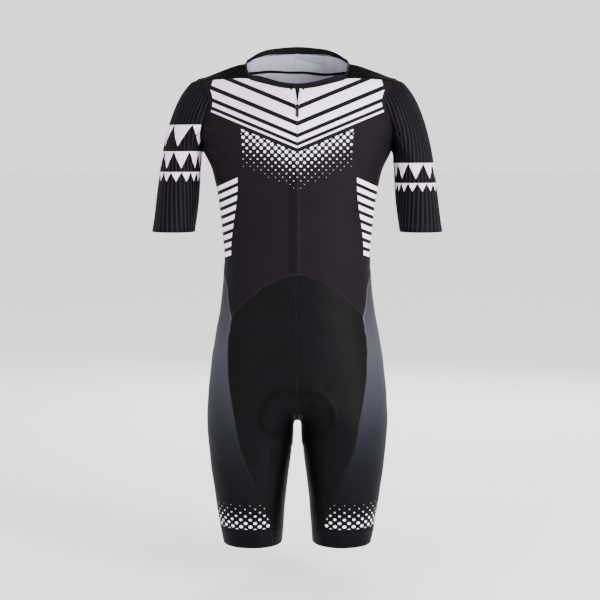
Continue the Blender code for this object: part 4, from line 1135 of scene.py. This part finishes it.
class Cloth:
    """The finished surface, for things laid on it."""

    def __init__(self, skins):
        points, faces, start = [], [], 0
        for skin in skins:
            points += [tuple(p) for p in skin.points]
            faces += [tuple(int(v) + start for v in ids) for ids in skin.faces]
            start += len(skin.points)
        self.tree = BVHTree.FromPolygons(points, faces)

    def lay(self, points, rise):
        """The points moved onto the cloth and out by a rise, and the cloth's normals there."""
        found = [self.tree.find_nearest(p) for p in points]
        normals = np.array([hit[1] for hit in found])
        return np.array([hit[0] for hit in found]) + normals * rise, normals

    def seen_from(self, points, way):
        """Where rays from the points in one direction meet the cloth, and the normals there."""
        found = [self.tree.ray_cast(p, way) for p in points]
        return np.array([hit[0] for hit in found]), np.array([hit[1] for hit in found])


def zigzag(cloth, line):
    """Cover stitch that crosses a seam from side to side."""
    path = resampled(line, STITCH_PITCH / 2)
    _, normals = cloth.lay(path, 0.0)
    side = unit(np.cross(normals, np.gradient(path, axis=0)))
    side[1::2] *= -1
    return cloth.lay(path + side * STITCH_HALF, STITCH_RISE)[0]


def dashes(cloth, line):
    """A row of short straight stitches along a line."""
    path, _ = cloth.lay(resampled(line, STITCH_PITCH), STITCH_RISE)
    step = unit(np.diff(path, axis=0))
    return [np.stack([a, a + way * DASH_LENGTH]) for a, way in zip(path[:-1], step)]


def add_tube(points, faces, rings):
    """Adds a tube through rings of points, closed at its ends, to a mesh's lists of points and faces."""
    first, turns = len(points), len(rings[0])
    last = first + (len(rings) - 1) * turns
    points += [p for ring in rings for p in ring]
    for low in range(first, last, turns):
        for i in range(turns):
            j = (i + 1) % turns
            faces.append((low + i, low + j, low + turns + j, low + turns + i))
    faces.append(tuple(range(first + turns - 1, first - 1, -1)))
    faces.append(tuple(range(last, last + turns)))


def threads(name, lines, materials, node):
    """All the given lines as thin tubes, in one piece."""
    points, faces = [], []
    turns = np.arange(STITCH_SIDES) * 2 * math.pi / STITCH_SIDES
    for line in lines:
        way = unit(np.gradient(line, axis=0))
        across = unit(np.cross(way, (0.31, 0.52, 0.79)))
        up = np.cross(way, across)
        ring = across[:, None] * np.cos(turns)[None, :, None] + up[:, None] * np.sin(turns)[None, :, None]
        add_tube(points, faces, (line[:, None] + STITCH_RADIUS * ring).tolist())
    stand_for(new_piece(name, points, faces, [materials["thread"]]), node)


def level_ring(skin, height, side):
    """Points where one leg's or sleeve's surface passes a height, in order round its middle."""
    edges, _, _ = skin.edges()
    a, b = skin.points[edges[:, 0]], skin.points[edges[:, 1]]
    crossing = ((a[:, 2] - height) * (b[:, 2] - height) < 0) & (a[:, 0] * side > 0)
    a, b = a[crossing], b[crossing]
    share = (height - a[:, 2]) / (b[:, 2] - a[:, 2])
    ring = a + (b - a) * share[:, None]
    offset = ring - ring.mean(axis=0)
    ring = ring[np.argsort(np.arctan2(offset[:, 1], offset[:, 0]))]
    return np.concatenate([ring, ring[:1]])


def hem_rows(cloth, skin, side, top, apart):
    """Two rows of stitches round one leg or sleeve."""
    rows = dashes(cloth, level_ring(skin, top, side))
    return rows + dashes(cloth, level_ring(skin, top - apart, side))


def stitch_everything(cloth, body, edges, sewn, sleeves, materials):
    """Cover stitch along each seam, and two rows of stitches round each turned hem."""
    seams = [zigzag(cloth, body.points[run]) for run in chains(edges[sewn])]
    threads("stitches_body", seams, materials, "back")
    for side, name in SIDES:
        rows = hem_rows(cloth, body, side, LEG_HEM + LEG_BAND, LEG_ROWS_APART)
        threads("stitches_leg_" + name, rows, materials, "side_" + name)
        rows = hem_rows(cloth, sleeves[side], side, CUFF_HEM + CUFF_BAND, CUFF_ROWS_APART)
        armhole = max(chains(armhole_edges(body, side)), key=len)
        rows.append(zigzag(cloth, body.points[armhole]))
        threads("stitches_sleeve_" + name, rows, materials, "sleeve_" + name)


def grid_faces(rows, columns):
    return np.array([
        (r * columns + c, r * columns + c + 1, (r + 1) * columns + c + 1, (r + 1) * columns + c)
        for r in range(rows - 1)
        for c in range(columns - 1)
    ])


def strip(name, rows, wall, material):
    """Thin closed strip through rows of points, with the wall behind them."""
    rows = np.array(rows)
    faces = grid_faces(rows.shape[0], rows.shape[1])
    points = rows.reshape(-1, 3)
    return shell(name, points, point_normals(points, faces), faces, wall, [material, material])


def zip_edge(body, side):
    """The front's free edge beside the zip, from the neck's edge down."""
    edges, middle = body.open_edges()
    mine = (middle[:, 0] * side > 0.0) & (np.abs(middle[:, 0]) < ZIP_REACH) & (middle[:, 1] < -0.05)
    run = np.abs(body.points[edges[:, 1]] - body.points[edges[:, 0]])
    line = body.points[max(chains(edges[mine & (run[:, 2] > run[:, 0])]), key=len)]
    return line if line[0, 2] > line[-1, 2] else line[::-1]


def build_zip(body, cloth, materials):
    """Tapes behind the fronts' edges, binding on the notch, the chain, and the guard behind it."""
    lines = []
    for side, name in SIDES:
        line = resampled(zip_edge(body, side), 0.004)
        _, normals = cloth.lay(line, 0.0)
        normals[:, 0] = 0.0
        normals = unit(normals)
        down = unit(np.gradient(line, axis=0))
        away = unit(np.cross(down, normals)) * side
        away *= np.sign(away[:, :1]) * side
        rows = []
        for p, aside, normal in zip(line, away, normals):
            outs = (-0.0001, 0.004, 0.008, TAPE_WIDTH)
            rows.append([p + aside * out - normal * (TAPE_BEHIND + TAPE_LEAN * out) for out in outs])
        tape = strip("cloth_zip_tape_" + name, rows, TAPE_WALL, materials["tape"])
        dress(tape, "zip_tape_" + name)
        rows = binding_rows(line, away, normals)
        binding = strip("cloth_zip_binding_" + name, rows, -side * BINDING_WALL, materials["tape"])
        dress(binding, "zip_tape_" + name)
        build_teeth(name, line, normals, side, materials)
        lines.append(line)
    rows = []
    for left, right in zip(*lines):
        _, y, z = (left + right) / 2
        spread = np.linspace(-1, 1, 5)
        rows.append([(GUARD_HALF * s, y + GUARD_BEHIND + 0.0016 * s * s, z - 0.001) for s in spread])
    rows.insert(0, [(x, y, z + GUARD_ABOVE) for x, y, z in rows[0]])
    guard = strip("cloth_zip_guard", rows, GUARD_WALL, materials["band"])
    dress(guard, "zip_tape_left")


def binding_rows(line, away, normals):
    """The binding's section, over the cloth's edge and under it, at each point of the notch."""
    top = line[:, 2].max() - BINDING_SHORT
    over, under = BINDING_GAP, -WALL - BINDING_GAP
    rows = []
    for p, aside, normal in zip(line, away, normals):
        if not SLIDER_FOOT + 0.006 < p[2] < top:
            continue
        width = BINDING_WIDTH * (0.45 + 0.55 * smooth(SLIDER_FOOT, SLIDER_FOOT + 0.030, p[2]))
        section = [
            (width, over),
            (0.5 * width, over + 0.00015),
            (0.0, over),
            (-0.00045, 0.5 * over),
            (-0.0007, 0.5 * under),
            (-0.00045, under),
            (0.002, under - 0.0001),
        ]
        rows.append([p + aside * out + normal * rise for out, rise in section])
    return rows


def build_teeth(name, line, normals, side, materials):
    """One side of the zip's chain: a rounded tooth at each step, set half a step off on the other side."""
    path = resampled(line, TOOTH_PITCH / 2)[(1 if side > 0 else 2)::2]
    index = np.clip(np.searchsorted(-line[:, 2], -path[:, 2]), 0, len(line) - 1)
    points, faces = [], []
    for p, n in zip(path, normals[index]):
        if p[2] < ZIP_FOOT + 0.003:
            continue
        across = np.array([side, 0.0, 0.0])
        along = np.cross(across, n)
        centre = p - n * TOOTH_BEHIND + across * (0.00015 if p[2] < SLIDER_FOOT else 0.0003)
        spokes = [n * math.cos(turn) + along * math.sin(turn) for turn in np.arange(6) * math.pi / 3]
        rings = []
        for out, size in ((-1.0, 0.45), (-0.72, 0.95), (0.6, 0.8), (1.0, 0.6)):
            middle = centre + across * out * TOOTH_HALF_LENGTH
            rings.append([middle + spoke * size * TOOTH_RADIUS for spoke in spokes])
        add_tube(points, faces, rings)
    teeth = new_piece("zip_teeth_" + name, points, faces, [materials["coil"]])
    stand_for(teeth, "zip_tape_" + name)


def inside_back(cloth, row, gap):
    """A row of points seen through the neck, laid a gap in front of the back's inner side."""
    hits, normals = cloth.seen_from(row, (0.0, 1.0, 0.0))
    return hits - normals * np.sign(normals[:, 1:2]) * (WALL + gap)


def build_neck_trim(cloth, materials):
    """The dark tape across the inside of the yoke seam, and the bare tag beside the centre seam."""
    rows = []
    for share in (1.0, 0.5, 0.0):
        row = []
        for x in np.linspace(-YOKE_TAPE_REACH, YOKE_TAPE_REACH, 61):
            height = YOKE_TAPE_HEIGHT + 0.0022 * math.sin(31 * x + 2.6) + 0.0008 * math.sin(83 * x)
            row.append((x, 0.0, height + YOKE_TAPE_WIDTH * (share - 0.5)))
        rows.append(inside_back(cloth, row, TRIM_GAP))
    tape = strip("cloth_yoke_tape", rows, -0.0005, materials["band"])
    dress(tape, "yoke_tape")
    rows = []
    for share in np.linspace(0.0, 1.0, 7):
        row = []
        for along in np.linspace(0.0, 1.0, 15):
            top = LABEL_TOP_LEFT * (1 - along) + LABEL_TOP_RIGHT * along
            low = LABEL_LOW_LEFT * (1 - along) + LABEL_LOW_RIGHT * along
            x, z = top * (1 - share) + low * share
            row.append((x, 0.0, z))
        rows.append(inside_back(cloth, row, TRIM_GAP + 0.0004 + 0.0011 * share * share))
    label = strip("cloth_neck_label", rows, 0.0004, materials["tag"])
    dress(label, "neck_label")


def build_pad(materials):
    """The seat pad: its CAD form smoothed, crowned and grooved on the side that meets the wearer."""
    skin = Skin(smoothed(whole_of("seat_pad"), PAD_LEVELS))
    x, y, _ = skin.points.T
    inward = smooth(0.2, 0.7, skin.normals[:, 2] * smooth(0.09, 0.02, np.abs(y)) + np.abs(y) * 4 - 0.3)
    groove = np.exp(-((x / 0.0035) ** 2)) + 0.8 * np.exp(-(((np.abs(x) - 0.036) / 0.003) ** 2))
    skin.raise_by(-PAD_GROOVE * groove * inward)
    piece = new_piece("pad_seat", skin.points, skin.faces, [materials["pad"]])
    stand_for(piece, "seat_pad")


def whole_of(node):
    """A CAD solid's whole mesh, welded and in four-sided faces where it can be."""
    mesh = welded(node)
    bmesh.ops.join_triangles(
        mesh, faces=mesh.faces[:], angle_face_threshold=SHARP_EDGE, angle_shape_threshold=math.pi
    )
    result = bpy.data.meshes.new(node)
    mesh.to_mesh(result)
    mesh.free()
    return result


def bevelled(node, body, materials):
    """A metal part of the zip with its edges rounded."""
    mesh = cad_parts[node].data.copy()
    mesh.materials.clear()
    mesh.materials.append(materials["metal"])
    obj = add_object("detail_" + node, mesh)
    weld = obj.modifiers.new("weld", "WELD")
    weld.merge_threshold = WELD_POINTS
    bevel = obj.modifiers.new("bevel", "BEVEL")
    bevel.width = METAL_BEVEL
    bevel.segments = 3
    bevel.limit_method = "ANGLE"
    bevel.angle_limit = METAL_EDGE
    stand_for(obj, node, body)


Lamp = namedtuple("Lamp", "name place aim wide tall power")
MIDDLE = (0.0, 0.0, -0.45)
LAMPS = [
    Lamp("key", (2.4, -2.5, 0.3), MIDDLE, 1.2, 1.8, 230.0),
    Lamp("fill", (-2.2, -2.6, 0.2), MIDDLE, 1.4, 1.8, 40.0),
    Lamp("behind", (0.6, 2.6, 0.6), MIDDLE, 2.4, 1.6, 60.0),
]
WORLD_LIGHT = 1.7
FLOOR = -1.02
FLOOR_REACH = 60.0

CAMERA_PLACE = (0.0, -3.1, -0.17)
CAMERA_AIM = (0.0052, 0.0, -0.4611)
CAMERA_ANGLE = 0.36957


def aim_from(obj, place, aim):
    obj.location = place
    obj.rotation_euler = (Vector(aim) - Vector(place)).to_track_quat("-Z", "Y").to_euler()


def add_floor_and_light():
    """Plain pale floor that meets the pale surroundings far off, and soft lights."""
    floor = bpy.data.meshes.new("floor")
    corners = [(x * FLOOR_REACH, y * FLOOR_REACH, FLOOR) for x, y in ((-1, -1), (1, -1), (1, 1), (-1, 1))]
    floor.from_pydata(corners, [], [(0, 1, 2, 3)])
    g = Graph("floor_paper")
    g.place()
    floor.materials.append(g.finish(g.mix(g.noise(3.0), (0.94, 0.94, 0.94), (0.92, 0.92, 0.92)), 0.9))
    add_object("floor", floor)
    for lamp in LAMPS:
        light = bpy.data.lights.new(lamp.name, "AREA")
        light.shape = "RECTANGLE"
        light.size = lamp.wide
        light.size_y = lamp.tall
        light.energy = lamp.power
        aim_from(add_object(lamp.name, light), lamp.place, lamp.aim)
    world = bpy.data.worlds.new("studio")
    world.use_nodes = True
    background = world.node_tree.nodes["Background"]
    background.inputs["Color"].default_value = (1.0, 1.0, 1.0, 1.0)
    background.inputs["Strength"].default_value = WORLD_LIGHT
    bpy.context.scene.world = world


def add_camera():
    camera = bpy.data.cameras.new("camera")
    camera.sensor_fit = "HORIZONTAL"
    camera.angle = CAMERA_ANGLE
    obj = add_object("camera", camera)
    aim_from(obj, CAMERA_PLACE, CAMERA_AIM)
    bpy.context.scene.camera = obj


materials = main_materials()
body, body_edges, body_sewn = build_body(materials)
build_collar(materials)
sleeves = {side: build_sleeve(side, name, body, materials) for side, name in SIDES}
cloth = Cloth([body, *sleeves.values()])
stitch_everything(cloth, body, body_edges, body_sewn, sleeves, materials)
build_zip(body, cloth, materials)
build_neck_trim(cloth, materials)
build_pad(materials)
bevelled("zip_slider", SUIT, materials)
bevelled("zip_pull", PULL, materials)
add_floor_and_light()
add_camera()


def corners(box):
    """A box as plain lists."""
    return [[float(value) for value in corner] for corner in box]
